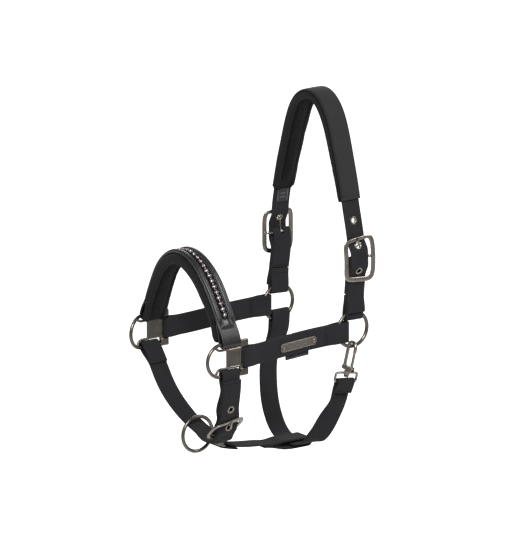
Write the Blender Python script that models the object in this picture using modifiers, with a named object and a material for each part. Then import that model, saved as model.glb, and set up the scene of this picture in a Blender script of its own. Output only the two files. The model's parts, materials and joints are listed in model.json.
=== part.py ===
"""A stable headcollar (halter) for a horse, as separate pieces.

Metres, +Z up. The origin is the middle of the underside of the crown pad, where it rests on the poll.
+X points to the horse's rear, the nose is at -X, the near (left) side at -Y and the off (right) side
at +Y. The numbers below are millimetres in the design frame, whose zero is midway between the cheek
fittings' level and the mid plane; place() moves them to the part's own frame.
"""

import math
from contextlib import contextmanager

import bmesh
import bpy
import numpy as np
from mathutils import Matrix, Vector

# ---------------------------------------------------------------- driving dimensions, millimetres
STRAP_W = 25.0  # webbing width
STRAP_T = 2.2  # webbing thickness
GAP = 0.4  # play between a strap loop and its bar
PITCH = 2.75  # from one webbing layer's middle to the next one's
LIFT = 2.9  # from a buckle strap's outer layer to the billet lying on it
INNER, OUTER = -LIFT - PITCH, -LIFT  # heights of a buckle strap's two layers off the billet's run
SEAM = 0.3  # clearance between a strap and what is sewn or riveted on it

COVER_W, COVER_T = 30.0, 2.2  # padded sleeve's outer face on the crown
PAD_T = 6.0  # crown pad
CROWN_X = 181.5

FIT_X, FIT_Y, FIT_Z = 2.0, 81.0, -6.0  # middle of each cast cheek fitting
FIT_BAR = 2.2  # radius of a fitting's bars
FIT_HALF = 19.8  # from the middle to its top and bottom bars
FIT_REAR = 18.5  # from the middle to its rear bar
FIT_DEE = 17.5  # from the middle forward to the D's centre

RING_X, RING_Y, RING_Z = 181.6, 75.0, 0.0  # middle of each side ring
RING_R, RING_WIRE = 21.25, 2.25
RING_REACH = 4.4  # a flat strap sits this far inside the ring's curve

BUCKLE_Z = 87.0  # centre bar of each crown buckle
BUCKLE_H, BUCKLE_HW = 24.8, 19.6  # half height and half width, to the middle of its bars
CHIN_BUCKLE_HW = 17.8
BAR_R = 1.7  # buckle bar that the strap wraps
FRAME_T = 1.3  # half thickness of a buckle frame
CREST = 5.4  # how far a billet rises over the wrapped bar
TONGUE_R, TONGUE_EYE_R = 0.95, 0.65  # radii of a tongue's pin and of the wire of its eye

NOSE_W, NOSE_T = 26.0, 2.6  # leather overlay
NOSE_PAD_W, NOSE_PAD_T = 33.0, 8.0

EYE_R, EYE_BORE = 4.5, 2.75  # eyelet flange and bore radii
EYE_FLAT = 5.3  # a strap stays flat this far each side of an eyelet
NAME_LEN, NAME_H, NAME_T = 54.0, 11.0, 1.2

UP = Vector((0, 0, 1))
ACROSS = Vector((1, 0, 0))

# ---------------------------------------------------------------- scene, collections and materials
for old in list(bpy.data.objects):
    bpy.data.objects.remove(old, do_unlink=True)

PARTS = bpy.data.collections.new("headcollar")
CUTTERS = bpy.data.collections.new("cutters")
bpy.context.scene.collection.children.link(PARTS)
bpy.context.scene.collection.children.link(CUTTERS)


def material(name, colour, roughness, metallic=0.0):
    mat = bpy.data.materials.new(name)
    mat.use_nodes = True
    node = mat.node_tree.nodes["Principled BSDF"]
    node.inputs["Base Color"].default_value = (*colour, 1.0)
    node.inputs["Roughness"].default_value = roughness
    node.inputs["Metallic"].default_value = metallic
    return mat


WEBBING = material("black_webbing", colour=(0.030, 0.031, 0.033), roughness=0.85)
SLEEVE = material("black_sleeve", colour=(0.042, 0.043, 0.044), roughness=0.8)
PADDING = material("black_padding", colour=(0.020, 0.020, 0.021), roughness=0.9)
LEATHER = material("black_leather", colour=(0.035, 0.035, 0.037), roughness=0.38)
GUNMETAL = material("gunmetal", colour=(0.115, 0.105, 0.093), roughness=0.36, metallic=1.0)
BRIGHT = material("light_gunmetal", colour=(0.20, 0.185, 0.165), roughness=0.32, metallic=1.0)
STONES = material("bead_chain", colour=(0.30, 0.30, 0.31), roughness=0.2, metallic=0.6)
LABEL = material("woven_label", colour=(0.06, 0.062, 0.075), roughness=0.8)


# ---------------------------------------------------------------- curves that straps follow
def spline(points):
    """A natural cubic spline through points, by chord length, as a dense list."""
    per_span = 10
    knots = np.array([tuple(q) for q in points], float)
    chords = np.linalg.norm(np.diff(knots, axis=0), axis=1)
    span = np.diff(np.concatenate([[0], np.cumsum(chords)]))
    count = len(knots)
    system, load = np.eye(count), np.zeros_like(knots)
    for i in range(1, count - 1):
        system[i, i - 1] = span[i - 1]
        system[i, i] = 2 * (span[i - 1] + span[i])
        system[i, i + 1] = span[i]
        slopes = (knots[i + 1] - knots[i]) / span[i] - (knots[i] - knots[i - 1]) / span[i - 1]
        load[i] = 6 * slopes
    bend = np.linalg.solve(system, load)
    out = []
    for i in range(count - 1):
        width = span[i]
        for k in range(per_span if i < count - 2 else per_span + 1):
            done = width * k / per_span
            left = width - done
            out.append(
                bend[i] * left**3 / (6 * width)
                + bend[i + 1] * done**3 / (6 * width)
                + (knots[i] / width - bend[i] * width / 6) * left
                + (knots[i + 1] / width - bend[i + 1] * width / 6) * done
            )
    return np.array(out)


class Run:
    """The line a strap follows. Places are given by distance along it, across it and height off it."""

    def __init__(self, points, wide=ACROSS, side=1.0):
        """wide is the width direction, or a function of the point; side -1 turns the normal over."""
        self.points = spline(points)
        chords = np.linalg.norm(np.diff(self.points, axis=0), axis=1)
        self.dists = np.concatenate([[0], np.cumsum(chords)])
        self.wide, self.side, self.length = wide, side, float(self.dists[-1])

    def point(self, dist):
        """The point at a distance; past either end the run goes on straight."""
        if dist < 0 or dist > self.length:
            end, beside = (0, 1) if dist < 0 else (-1, -2)
            step = self.points[end] - self.points[beside]
            beyond = -dist if dist < 0 else dist - self.length
            return Vector(self.points[end] + step / np.linalg.norm(step) * beyond)
        return Vector([np.interp(dist, self.dists, self.points[:, k]) for k in range(3)])

    def at(self, dist):
        """The point, direction, width direction and outward normal."""
        along = (self.point(dist + 1.5) - self.point(dist - 1.5)).normalized()
        middle = self.point(dist)
        hint = self.wide(middle) if callable(self.wide) else self.wide
        wide = (hint - along * hint.dot(along)).normalized()
        return middle, along, wide, wide.cross(along) * self.side

    def spot(self, dist, across, height):
        middle, _, wide, normal = self.at(dist)
        return middle + wide * across + normal * height

    def locate(self, target, dist):
        """Distance along the run and height off it of a target near dist."""
        for _ in range(12):
            middle, along, _, normal = self.at(dist)
            dist += (Vector(target) - middle).dot(along)
        return dist, (Vector(target) - middle).dot(normal)

    def near(self, target, axis=2):
        """The distance along the run where the coordinate on axis passes target first."""
        for i in range(1, len(self.points)):
            before, after = self.points[i - 1, axis] - target, self.points[i, axis] - target
            if before * after <= 0 and before != after:
                step = self.dists[i] - self.dists[i - 1]
                return float(self.dists[i - 1] + step * before / (before - after))
        raise ValueError("the run doesn't pass there")


def ease(u):
    u = min(max(u, 0.0), 1.0)
    return u * u * (3 - 2 * u)


def steps(start, end, step):
    count = max(1, round(abs(end - start) / step))
    return [start + (end - start) * i / count for i in range(count + 1)]


def ramp(start, step, height, to_height, parts):
    """The points between the ends of an eased change of height in so many parts."""
    return [(start + step * k, height + (to_height - height) * ease(k / parts))
            for k in range(1, parts)]


def turn(dist, height, radius, first, last):
    """Points of a half turn round a bar at (dist, height), from one angle to another, in degrees."""
    angles = [math.radians(first + (last - first) * k / 8) for k in range(9)]
    return [(dist + radius * math.cos(a), height + radius * math.sin(a)) for a in angles]


def fold(pitch, radius, slack=0.0):
    """A strap's inner end at a run's start, from its raw edge to round the bar."""
    path = [(24, -pitch)] + ramp(24, -4, -pitch, -radius, 5)
    return path + turn(-slack, 0, radius, 270, 90)


def wrap(bar_radius):
    """Radius of the middle of the webbing where it goes round a bar."""
    return bar_radius + GAP + STRAP_T / 2


R_FIT, R_RING, R_BAR = wrap(FIT_BAR), wrap(RING_WIRE), wrap(BAR_R)

# the crown's middle line: (y, z) up the near side to the poll, and mirrored down the off side
CROWN_SIDE = [
    (-78.6, 22), (-79.1, 42), (-79.1, 64), (-79.1, 87), (-79.1, 110), (-77.6, 124),
    (-73.6, 143), (-69.3, 160), (-64.9, 177.3), (-60.0, 194), (-54.1, 213.9), (-46.6, 235.5),
    (-40.3, 248.6), (-32.0, 260.0), (-20.8, 269.6), (-8.0, 275.4),
]


def crown_x(y, z):
    """The crown leans a little to the rear above the rings, more on the off side."""
    rise = ease((z - 22) / 56)
    side = math.copysign(ease((abs(y) - 10) / 45), y)
    sag = 4.2 * math.exp(-(((z - 80) / 34) ** 2)) if y < 0 else 0.0  # near buckle hangs to the rear
    return CROWN_X + 0.4 * (1 - rise) + (2.6 + 3.0 * side) * rise + sag


CROWN = Run([(crown_x(y, z), y, z) for y, z in CROWN_SIDE]
            + [(crown_x(-y, z), -y, z) for y, z in reversed(CROWN_SIDE)])
CROWN_MID = CROWN.near(0.0, axis=1)
BUCKLE_S = CROWN.near(BUCKLE_Z)

# the design frame's point that becomes the origin: the flat middle of the pad's underside
PAD_STEP = 8.0
COVER_FACE = STRAP_T / 2 + SEAM  # from the crown strap's middle to the cover or pad
_near, _off = CROWN.point(CROWN_MID - PAD_STEP / 2), CROWN.point(CROWN_MID + PAD_STEP / 2)
ORIGIN = Vector(((_near.x + _off.x) / 2, 0.0, (_near.z + _off.z) / 2 - (COVER_FACE + PAD_T)))


def place(point):
    return (Vector(point) - ORIGIN) * 0.001


# ---------------------------------------------------------------- building blocks
# A piece made with mat None is a helper: it goes in the cutters collection and isn't rendered.
@contextmanager
def editing(mesh):
    bm = bmesh.new()
    bm.from_mesh(mesh)
    yield bm
    bm.to_mesh(mesh)
    bm.free()


def add(name, mesh, mat):
    ob = bpy.data.objects.new(name, mesh)
    if mat is None:
        ob.hide_render, ob.display_type = True, "WIRE"
        CUTTERS.objects.link(ob)
    else:
        mesh.materials.clear()
        mesh.materials.append(mat)
        PARTS.objects.link(ob)
    return ob


def apply_modifiers(ob):
    graph = bpy.context.evaluated_depsgraph_get()
    mesh = bpy.data.meshes.new_from_object(ob.evaluated_get(graph))
    ob.modifiers.clear()
    ob.data = mesh


def ribbon(name, run, path, width, thick, mat, bevel=0.0):
    """A strap: a sheet along path, a list of (distance, height off the run), given its thickness."""
    mesh = bpy.data.meshes.new(name)
    spans = len(path) - 1
    with editing(mesh) as bm:
        bmesh.ops.create_grid(bm, x_segments=spans, y_segments=1, size=1.0)
        for v in bm.verts:
            dist, height = path[round((v.co.x + 1) / 2 * spans)]
            middle, _, wide, normal = run.at(dist)
            v.co = place(middle + normal * height + wide * (width / 2 * v.co.y))
        bmesh.ops.recalc_face_normals(bm, faces=bm.faces)
    ob = add(name, mesh, mat)
    solid = ob.modifiers.new("thickness", "SOLIDIFY")
    solid.thickness, solid.offset, solid.use_even_offset = thick * 0.001, 0.0, True
    if bevel:
        edges = ob.modifiers.new("edges", "BEVEL")
        edges.width, edges.segments, edges.limit_method = bevel * 0.001, 1, "ANGLE"
        edges.angle_limit = math.radians(50)
    apply_modifiers(ob)
    return ob


def wire(name, points, radius, mat, closed=False):
    """A round bar along points: a bevelled curve, made a mesh so that it can be joined and cut."""
    curve = bpy.data.curves.new(name, "CURVE")
    curve.dimensions, curve.use_fill_caps = "3D", True
    curve.bevel_depth, curve.bevel_resolution = radius * 0.001, 1
    line = curve.splines.new("POLY")
    line.points.add(len(points) - 1)
    for target, point in zip(line.points, points):
        target.co = (*place(point), 1.0)
    line.use_cyclic_u = closed
    guide = bpy.data.objects.new(name + "_curve", curve)
    CUTTERS.objects.link(guide)
    graph = bpy.context.evaluated_depsgraph_get()
    mesh = bpy.data.meshes.new_from_object(guide.evaluated_get(graph))
    with editing(mesh) as bm:
        bmesh.ops.remove_doubles(bm, verts=bm.verts, dist=1e-5)
        bmesh.ops.recalc_face_normals(bm, faces=bm.faces)
        bmesh.ops.triangulate(bm, faces=bm.faces)
    bpy.data.objects.remove(guide, do_unlink=True)
    bpy.data.curves.remove(curve)
    return add(name, mesh, mat)


def rounded_rectangle(half_u, half_v, radius):
    """(u, v) points round a rectangle, four to each corner."""
    points = []
    for side_u, side_v, start in ((1, 1, 0), (-1, 1, 90), (-1, -1, 180), (1, -1, 270)):
        for k in range(4):
            angle = math.radians(start + 30 * k)
            points.append((side_u * (half_u - radius) + radius * math.cos(angle),
                           side_v * (half_v - radius) + radius * math.sin(angle)))
    return points


def frame_matrix(centre, x, z):
    """A frame at centre with its X near x and its Z along z."""
    z = Vector(z).normalized()
    x = (Vector(x) - z * Vector(x).dot(z)).normalized()
    matrix = Matrix((x, z.cross(x), z)).transposed().to_4x4()
    matrix.translation = place(centre)
    return matrix


def axis_matrix(centre, axis):
    hint = ACROSS if abs(Vector(axis).normalized().x) < 0.9 else UP
    return frame_matrix(centre, hint, axis)


def block(name, centre, size, mat, x=ACROSS, z=UP):
    mesh = bpy.data.meshes.new(name)
    with editing(mesh) as bm:
        bmesh.ops.create_cube(bm, size=1.0)
        bmesh.ops.scale(bm, vec=Vector(size) * 0.001, verts=bm.verts)
    ob = add(name, mesh, mat)
    ob.matrix_world = frame_matrix(centre, x, z)
    return ob


def rod(name, centre, axis, radius, length, mat, sides):
    mesh = bpy.data.meshes.new(name)
    with editing(mesh) as bm:
        bmesh.ops.create_cone(bm, cap_ends=True, segments=sides, radius1=radius * 0.001,
                              radius2=radius * 0.001, depth=length * 0.001)
    ob = add(name, mesh, mat)
    ob.matrix_world = axis_matrix(centre, axis)
    return ob


def turned(name, centre, axis, profile, sides, closed=True):
    """A bright piece: a profile of (radius, height) turned about axis. It is closed or ends on it."""
    mesh = bpy.data.meshes.new(name)
    with editing(mesh) as bm:
        verts = [bm.verts.new((r * 0.001, 0, z * 0.001)) for r, z in profile]
        for i in range(len(verts) if closed else len(verts) - 1):
            bm.edges.new((verts[i], verts[(i + 1) % len(verts)]))
    ob = add(name, mesh, BRIGHT)
    screw = ob.modifiers.new("turn", "SCREW")
    screw.angle, screw.axis = 2 * math.pi, "Z"
    screw.steps, screw.render_steps = sides, sides
    screw.use_merge_vertices, screw.merge_threshold = True, 1e-5
    screw.use_normal_calculate = True
    ob.matrix_world = axis_matrix(centre, axis)
    apply_modifiers(ob)
    with editing(ob.data) as bm:
        bmesh.ops.recalc_face_normals(bm, faces=bm.faces)
    one_material(ob, BRIGHT)


def torus(name, mat, **sizes):
    bpy.ops.mesh.primitive_torus_add(**sizes)
    ob = bpy.context.object
    for collection in list(ob.users_collection):
        collection.objects.unlink(ob)
    PARTS.objects.link(ob)
    ob.name = ob.data.name = name
    ob.data.materials.append(mat)
    return ob


def ring(name, centre):
    """A wire ring in an upright plane along the horse."""
    ob = torus(name, GUNMETAL, major_segments=28, minor_segments=8,
               major_radius=RING_R * 0.001, minor_radius=RING_WIRE * 0.001)
    ob.data.shade_smooth()
    ob.matrix_world = frame_matrix(centre, ACROSS, (0, 1, 0))


def tidy(mesh):
    """Welds nearly coincident points and triangulates, so that the next Boolean meets flat faces."""
    with editing(mesh) as bm:
        bmesh.ops.triangulate(bm, faces=bm.faces)
        bmesh.ops.remove_doubles(bm, verts=bm.verts, dist=2e-6)
        bmesh.ops.dissolve_degenerate(bm, dist=1e-6, edges=bm.edges)
        bmesh.ops.triangulate(bm, faces=bm.faces)


def boolean(ob, other, kind):
    mod = ob.modifiers.new(kind.lower(), "BOOLEAN")
    mod.operation, mod.solver, mod.object = kind, "EXACT", other
    apply_modifiers(ob)
    tidy(ob.data)


def join(ob, *others):
    """Unions others into ob, then drops them."""
    for other in others:
        boolean(ob, other, "UNION")
        bpy.data.objects.remove(other, do_unlink=True)


def cut(ob, *cutters):
    for cutter in cutters:
        boolean(ob, cutter, "DIFFERENCE")


def one_material(ob, mat, smooth=35):
    """Gives every face mat and shades it smooth, with edges sharper than smooth degrees kept."""
    ob.data.materials.clear()
    ob.data.materials.append(mat)
    for face in ob.data.polygons:
        face.material_index = 0
    ob.data.shade_smooth()
    ob.data.set_sharp_from_angle(angle=math.radians(smooth))


def own_origin(ob, point):
    """Moves the object's origin to point, on its joint's axis, leaving the shape where it is."""
    target = place(point)
    ob.data.transform(ob.matrix_world.copy())
    ob.data.transform(Matrix.Translation(-target))
    ob.matrix_world = Matrix.Translation(target)


# ---------------------------------------------------------------- what straps with eyelets share
CROWN_CREST = (9.5, 21.6)  # a billet comes down between these distances from the wrapped bar
CHIN_CREST = (14.5, 27.6)


def crest(dist, fall_from, fall_to):
    """A billet's height near a buckle: CREST over the wrapped bar, 0 where it passes behind a bar."""
    dist = abs(dist)
    if dist <= fall_from:
        return CREST
    if dist >= fall_to:
        return 0.0
    return CREST / 2 * (1 + math.cos(math.pi * (dist - fall_from) / (fall_to - fall_from)))


def flat_at(samples, centres):
    """Replaces the samples near each centre by one on each side, so that the strap is flat there."""
    clear = EYE_FLAT + 1.2
    out = [s for s in samples if all(abs(s - c) > clear for c in centres)]
    return sorted(out + [c + side * EYE_FLAT for c in centres for side in (-1, 1)])


def beside_eye(dist, eyes):
    return min(abs(dist - eye) for eye in eyes) < EYE_FLAT + 0.1


def eyelet(name, run, dist, height_at):
    """An eyelet set in a strap, as one turned ring. Gives the cutter for the hole it sits in."""
    before, after = (run.spot(dist + k * EYE_FLAT, 0, height_at(dist + k * EYE_FLAT)) for k in (-1, 1))
    centre, along = (before + after) / 2, (after - before).normalized()
    normal = run.at(dist)[2].cross(along) * run.side
    barrel = EYE_BORE + 0.6
    face = STRAP_T / 2 + 0.15
    top = face + 0.35
    profile = [(EYE_BORE, -top), (EYE_BORE, top), (EYE_R - 0.5, top), (EYE_R, face),
               (barrel, face), (barrel, -face), (EYE_R, -face), (EYE_R - 0.5, -top)]
    turned(name, centre, normal, profile, sides=12)
    return rod(name + "_hole", centre, normal, barrel + 0.45, 8.0, None, sides=12)


def cut_strap(strap, *cutters):
    cut(strap, *cutters)
    one_material(strap, WEBBING)


# ---------------------------------------------------------------- crown: strap, sleeve and pad
EYE_PITCH = 30.6
MID_EYE = BUCKLE_S + 16.7
CROWN_EYES = [MID_EYE + EYE_PITCH, MID_EYE, MID_EYE - EYE_PITCH]
COVER_START = CROWN.near(158.5)
COVER_END = CROWN.length - CROWN.near(144.5)  # sleeve and pad reach further down the off side


def crown_height(dist):
    """The crown strap's height off its run: each tip lifts over the strap loop on the ring."""
    from_tip = dist if dist < CROWN_MID else CROWN.length - dist
    return 3.4 * (1 - ease((from_tip - 2) / 18)) + crest(from_tip - BUCKLE_S, *CROWN_CREST)


cover_s = steps(COVER_START, CROWN_MID - PAD_STEP / 2, PAD_STEP)
cover_s += steps(CROWN_MID + PAD_STEP / 2, COVER_END, PAD_STEP)
side_s = steps(0, 18, 3.6) + steps(25, BUCKLE_S - 26, 8)
side_s += steps(BUCKLE_S - 22, BUCKLE_S + 24, 3.4) + steps(BUCKLE_S + 30, cover_s[0] - 7, 7)
side_s = flat_at(side_s, CROWN_EYES)
off_s = [CROWN.length - s for s in reversed(side_s) if s < CROWN.length - COVER_END - 4]
crown_path = [(s, crown_height(s)) for s in side_s + cover_s + off_s]
crown_strap = ribbon("crown_strap", CROWN, crown_path, STRAP_W, STRAP_T, WEBBING)
ribbon("crown_cover", CROWN, [(s, COVER_FACE + COVER_T / 2) for s in cover_s],
       COVER_W, COVER_T, SLEEVE)
ribbon("crown_pad", CROWN, [(s, -(COVER_FACE + PAD_T / 2)) for s in cover_s],
       COVER_W, PAD_T, PADDING, bevel=1.4)

holes = []
for k, s in enumerate(CROWN_EYES):
    holes.append(eyelet(f"near_crown_eyelet_{k + 1}", CROWN, s, crown_height))
    if k:  # the size label is sewn where the off side's topmost would be
        holes.append(eyelet(f"off_crown_eyelet_{k}", CROWN, CROWN.length - s, crown_height))
cut_strap(crown_strap, *holes)

# ---------------------------------------------------------------- buckles
BAR_H = CREST - (STRAP_T / 2 + 0.7 + STRAP_T + GAP + BAR_R)  # wrapped bar's height off the billet's run
END_H = STRAP_T / 2 + 0.5 + FRAME_T
FRAME_ARCH = 3.6  # the crown buckles' sides arch out beside the billet, and their bars dip behind it
FRAME_SIDE = {"near": 1.6, "off": -0.9}  # how far each hangs to the rear of the strap's middle
BAR_FLAT = 15.6  # half length of a crown buckle's bar between its bent ends
TIP_H = END_H + FRAME_T + 0.35 + TONGUE_R  # a tongue's tip lies on the end bar


def buckle_frame(name, line, half_h, half_w, middle, height_at, side_r, heel_r):
    """A cast frame, a torus shaped to a rounded rectangle.

    line(dist, across, height) gives a point on the strap and middle is the frame's centre along it.
    height_at(u) is the frame's height for u from -1 to 1 along it. side_r and heel_r are the frame's
    half widths at its sides and at its -1 end.
    """
    corner, spread, head_r = 0.34, 0.6, 2.3
    minor = 0.25
    ob = torus(name, BRIGHT, major_segments=32, minor_segments=6,
               major_radius=1.0, minor_radius=minor)
    for v in ob.data.vertices:
        angle = math.atan2(v.co.y, v.co.x)
        out, up = (math.hypot(v.co.x, v.co.y) - 1.0) / minor, v.co.z / minor
        cos, sin = math.cos(angle), math.sin(angle)
        across = half_w * math.copysign(abs(cos) ** corner, cos)
        dist = half_h * math.copysign(abs(sin) ** corner, sin)
        out_across, out_dist = cos * abs(cos) ** spread, sin * abs(sin) ** spread
        size = math.hypot(out_across, out_dist)
        radius = side_r if sin < 0.8 else head_r
        if sin < -0.9:
            radius = heel_r
        v.co = place(line(middle + dist + out_dist / size * radius * out,
                          across + out_across / size * radius * out,
                          height_at(dist / half_h) + FRAME_T * up))
    tidy(ob.data)
    return ob


def tongue(name, line, path):
    """A buckle tongue: an eye round the wrapped bar and a pin along path, (distance, height) pairs."""
    radius = BAR_R + 0.3 + TONGUE_EYE_R
    lean = math.atan2(path[0][1] - BAR_H, path[0][0])
    around = [(radius * math.cos(a), BAR_H + radius * math.sin(a))
              for a in [lean + 2 * math.pi * k / 12 for k in range(12)]]
    eye = wire(name, [line(dist, 0, height) for dist, height in around],
               TONGUE_EYE_R, BRIGHT, closed=True)
    pin = [line(dist, 0, height) for dist, height in [around[0]] + path]
    join(eye, wire(name + "_pin", pin, TONGUE_R, None))
    one_material(eye, BRIGHT, smooth=40)
    own_origin(eye, line(0.0, 0, BAR_H))


def crown_buckle(side, line):
    def hung(dist, across, height):
        return line(dist, across + FRAME_SIDE[side], height)

    frame = buckle_frame(f"{side}_crown_buckle_frame", hung, BUCKLE_H, BUCKLE_HW, 0.0,
                         lambda u: FRAME_ARCH + (END_H - FRAME_ARCH) * u**2, side_r=3.1, heel_r=3.1)
    bar = [(-BUCKLE_HW, FRAME_ARCH), (-BAR_FLAT, BAR_H), (BAR_FLAT, BAR_H), (BUCKLE_HW, FRAME_ARCH)]
    join(frame, wire("bar", [hung(0, across, height) for across, height in bar], BAR_R, None))
    one_material(frame, BRIGHT)
    tongue(f"{side}_crown_buckle_tongue", line,
           [(10.5, -0.5), (14.6, 0.2), (18.6, 5.1), (20.6, 5.9), (BUCKLE_H + 2.2, TIP_H)])


def buckle_strap_path():
    """The doubled near strap: round the buckle's bar, down outside, round the ring, up inside."""
    ring_top = (CROWN_X, -RING_Y, RING_Z + RING_R - RING_REACH - 0.8)
    ring_s, ring_h = CROWN.locate(ring_top, 0.0)
    path = [(s, INNER) for s in steps(BUCKLE_S - 43, BUCKLE_S - 12, 8)]
    path.append((BUCKLE_S - 6, (INNER + BAR_H - R_BAR) / 2))
    path += turn(BUCKLE_S, BAR_H, R_BAR, -90, 90)
    low_eye = CROWN_EYES[2]
    for s in reversed(flat_at(steps(BUCKLE_S - 24, BUCKLE_S - 4, 3.4), [low_eye])):
        drop = 0.5 if beside_eye(s, [low_eye]) else 0.15 if s < BUCKLE_S - 6 else 0.0
        path.append((s, OUTER + crest(s - BUCKLE_S, *CROWN_CREST) - drop))
    path += [(s, OUTER) for s in steps(BUCKLE_S - 30, ring_s + 22, 7)]
    path += ramp(ring_s + 22, -15 / 4, OUTER, ring_h + R_RING, 4)
    path.append((ring_s + 7.4, ring_h + R_RING))
    path += turn(ring_s, ring_h, R_RING, 90, 270)
    path.append((ring_s + 7.4, ring_h - R_RING))
    path += ramp(ring_s + 7, 15 / 4, ring_h - R_RING, INNER, 4)
    path.append((BUCKLE_S - 45, INNER))
    return path


def crown_side(side, sign):
    """One side's crown buckle, the strap from it to the side ring, and the ring."""

    def flip(dist):
        return CROWN.length - dist if sign > 0 else dist

    def line(dist, across, height):
        """A point by its distance above the buckle's bar."""
        return CROWN.spot(flip(BUCKLE_S + dist), across, height)

    crown_buckle(side, line)
    path = [(flip(s), height) for s, height in buckle_strap_path()]
    strap = ribbon(f"{side}_buckle_strap", CROWN, path, STRAP_W, STRAP_T, WEBBING)
    # a slot in the fold leaves room for the tongue's eye
    cut_strap(strap, block("slot", line(3.2, 0, BAR_H + 1.0), (5.0, 12.0, 12.0), None))
    ring(f"{side}_side_ring", Vector((RING_X, sign * RING_Y, RING_Z)))


SIDES = (("near", -1), ("off", 1))
for side, sign in SIDES:
    crown_side(side, sign)

# a small plain woven label on the inside of the off crown strap, below the pad
LABEL_S, LABEL_SIZE, LABEL_T = CROWN.length - CROWN.near(133), 17.0, 0.8
label_s = steps(-LABEL_SIZE / 2, LABEL_SIZE / 2, 4.3)
ribbon("size_label", CROWN, [(LABEL_S + s, -(COVER_FACE + LABEL_T / 2)) for s in label_s],
       LABEL_SIZE, LABEL_T, LABEL)

# ---------------------------------------------------------------- cheek fittings
# a strut inside the D: x from the fitting's middle, z off it, and how much higher the upper one is
STRUT = [(-8.2, 10.2, 2.4), (-19, 10.2, 2.4), (-23.0, 12.4, 1.8), (-25.6, 17.4, 0.2)]


def fitting(name, sign):
    """A cast fitting: a D to the front, a squared rear, and a plate, ears, links and struts in it."""
    y = sign * FIT_Y
    top, bottom, rear = FIT_Z + FIT_HALF, FIT_Z - FIT_HALF, FIT_X + FIT_REAR
    corner = 3

    def outline(x, z):
        """The off fitting's D is turned in a little, ahead of the straps."""
        return Vector((x, y - (0.28 * max(0.0, -15.0 - x) if sign > 0 else 0.0), z))

    angles = [math.radians(90 + 15 * k) for k in range(13)]
    points = [outline(FIT_X - FIT_DEE + FIT_HALF * math.cos(a), FIT_Z + FIT_HALF * math.sin(a))
              for a in angles]
    points += [Vector((x, y, z)) for x, z in (
        (rear - corner, bottom), (rear, bottom + corner), (rear, top - corner), (rear - corner, top))]
    body = wire(name, points, FIT_BAR, GUNMETAL, closed=True)
    pieces = [block("plate", (FIT_X + 0.95, y, FIT_Z + 1.5), (20.9, 4.0, 25.4), None)]
    for up in (1, -1):
        pieces.append(block("ear", (FIT_X + 15.1, y, FIT_Z + up * 17.5), (12.1, 5.2, 9.6), None))
        pieces.append(block("link", (FIT_X + 10.9, y, FIT_Z + up * 10.6), (4.4, 3.2, 6.6), None))
        strut = [outline(FIT_X + x, FIT_Z + up * (z + max(0.0, up) * lift)) for x, z, lift in STRUT]
        # outside the D's turned-in part its points keep the fitting's own y
        pieces.append(wire("strut", strut, 1.5, None))
    join(body, *pieces)
    one_material(body, GUNMETAL)


for side, sign in SIDES:
    fitting(f"{side}_fitting", sign)

# ---------------------------------------------------------------- cheek straps
CHEEK_FACE = PITCH / 2 + STRAP_T / 2  # from a cheek strap's run to its face
# where each strap ends: how far up from fitting level to ring level, and its reach into the ring
CHEEK_END = {"near": (0.7, RING_REACH + 6.0), "off": (0.9, RING_REACH + 0.46)}
PLATE_DROP = 1.5  # the name plate's middle below the strap's
RIVET_ALONG = 23.0


def cheek_run(sign, end_rise):
    start, span = FIT_X + FIT_REAR, RING_X - RING_R - FIT_X - FIT_REAR
    shares = ((0, 0), (0.09, 0.01), (0.5, 0.5), (0.91, end_rise), (1, end_rise))
    return Run([(start + span * u, sign * (FIT_Y + (RING_Y - FIT_Y) * u),
                 FIT_Z + (RING_Z - FIT_Z) * rise) for u, rise in shares], wide=UP, side=float(sign))


def cheek_path(length, reach):
    """One long loop: round the fitting, along outside, round the ring, and back inside."""
    fit_r, ring_r, out = R_FIT + 0.35, R_RING + 0.25, PITCH / 2
    path = [(length / 2 + 1, -out)] + [(s, -out) for s in steps(length / 2 + 9, length - 19, 9)]
    path += ramp(length - 19, 4, -out, -ring_r, 4)
    path += turn(length + reach, 0, ring_r, -90, 90)
    path += ramp(length - 3, -4, ring_r, out, 4)
    path += [(s, out) for s in steps(length - 23, 19, 9)]
    path += ramp(19, -4, out, fit_r, 4)
    path += turn(0, 0, fit_r, 90, 270)
    path += ramp(3, 4, -fit_r, -out, 4)
    return path + [(s, -out) for s in steps(19, length / 2 - 1, 9)]


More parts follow.
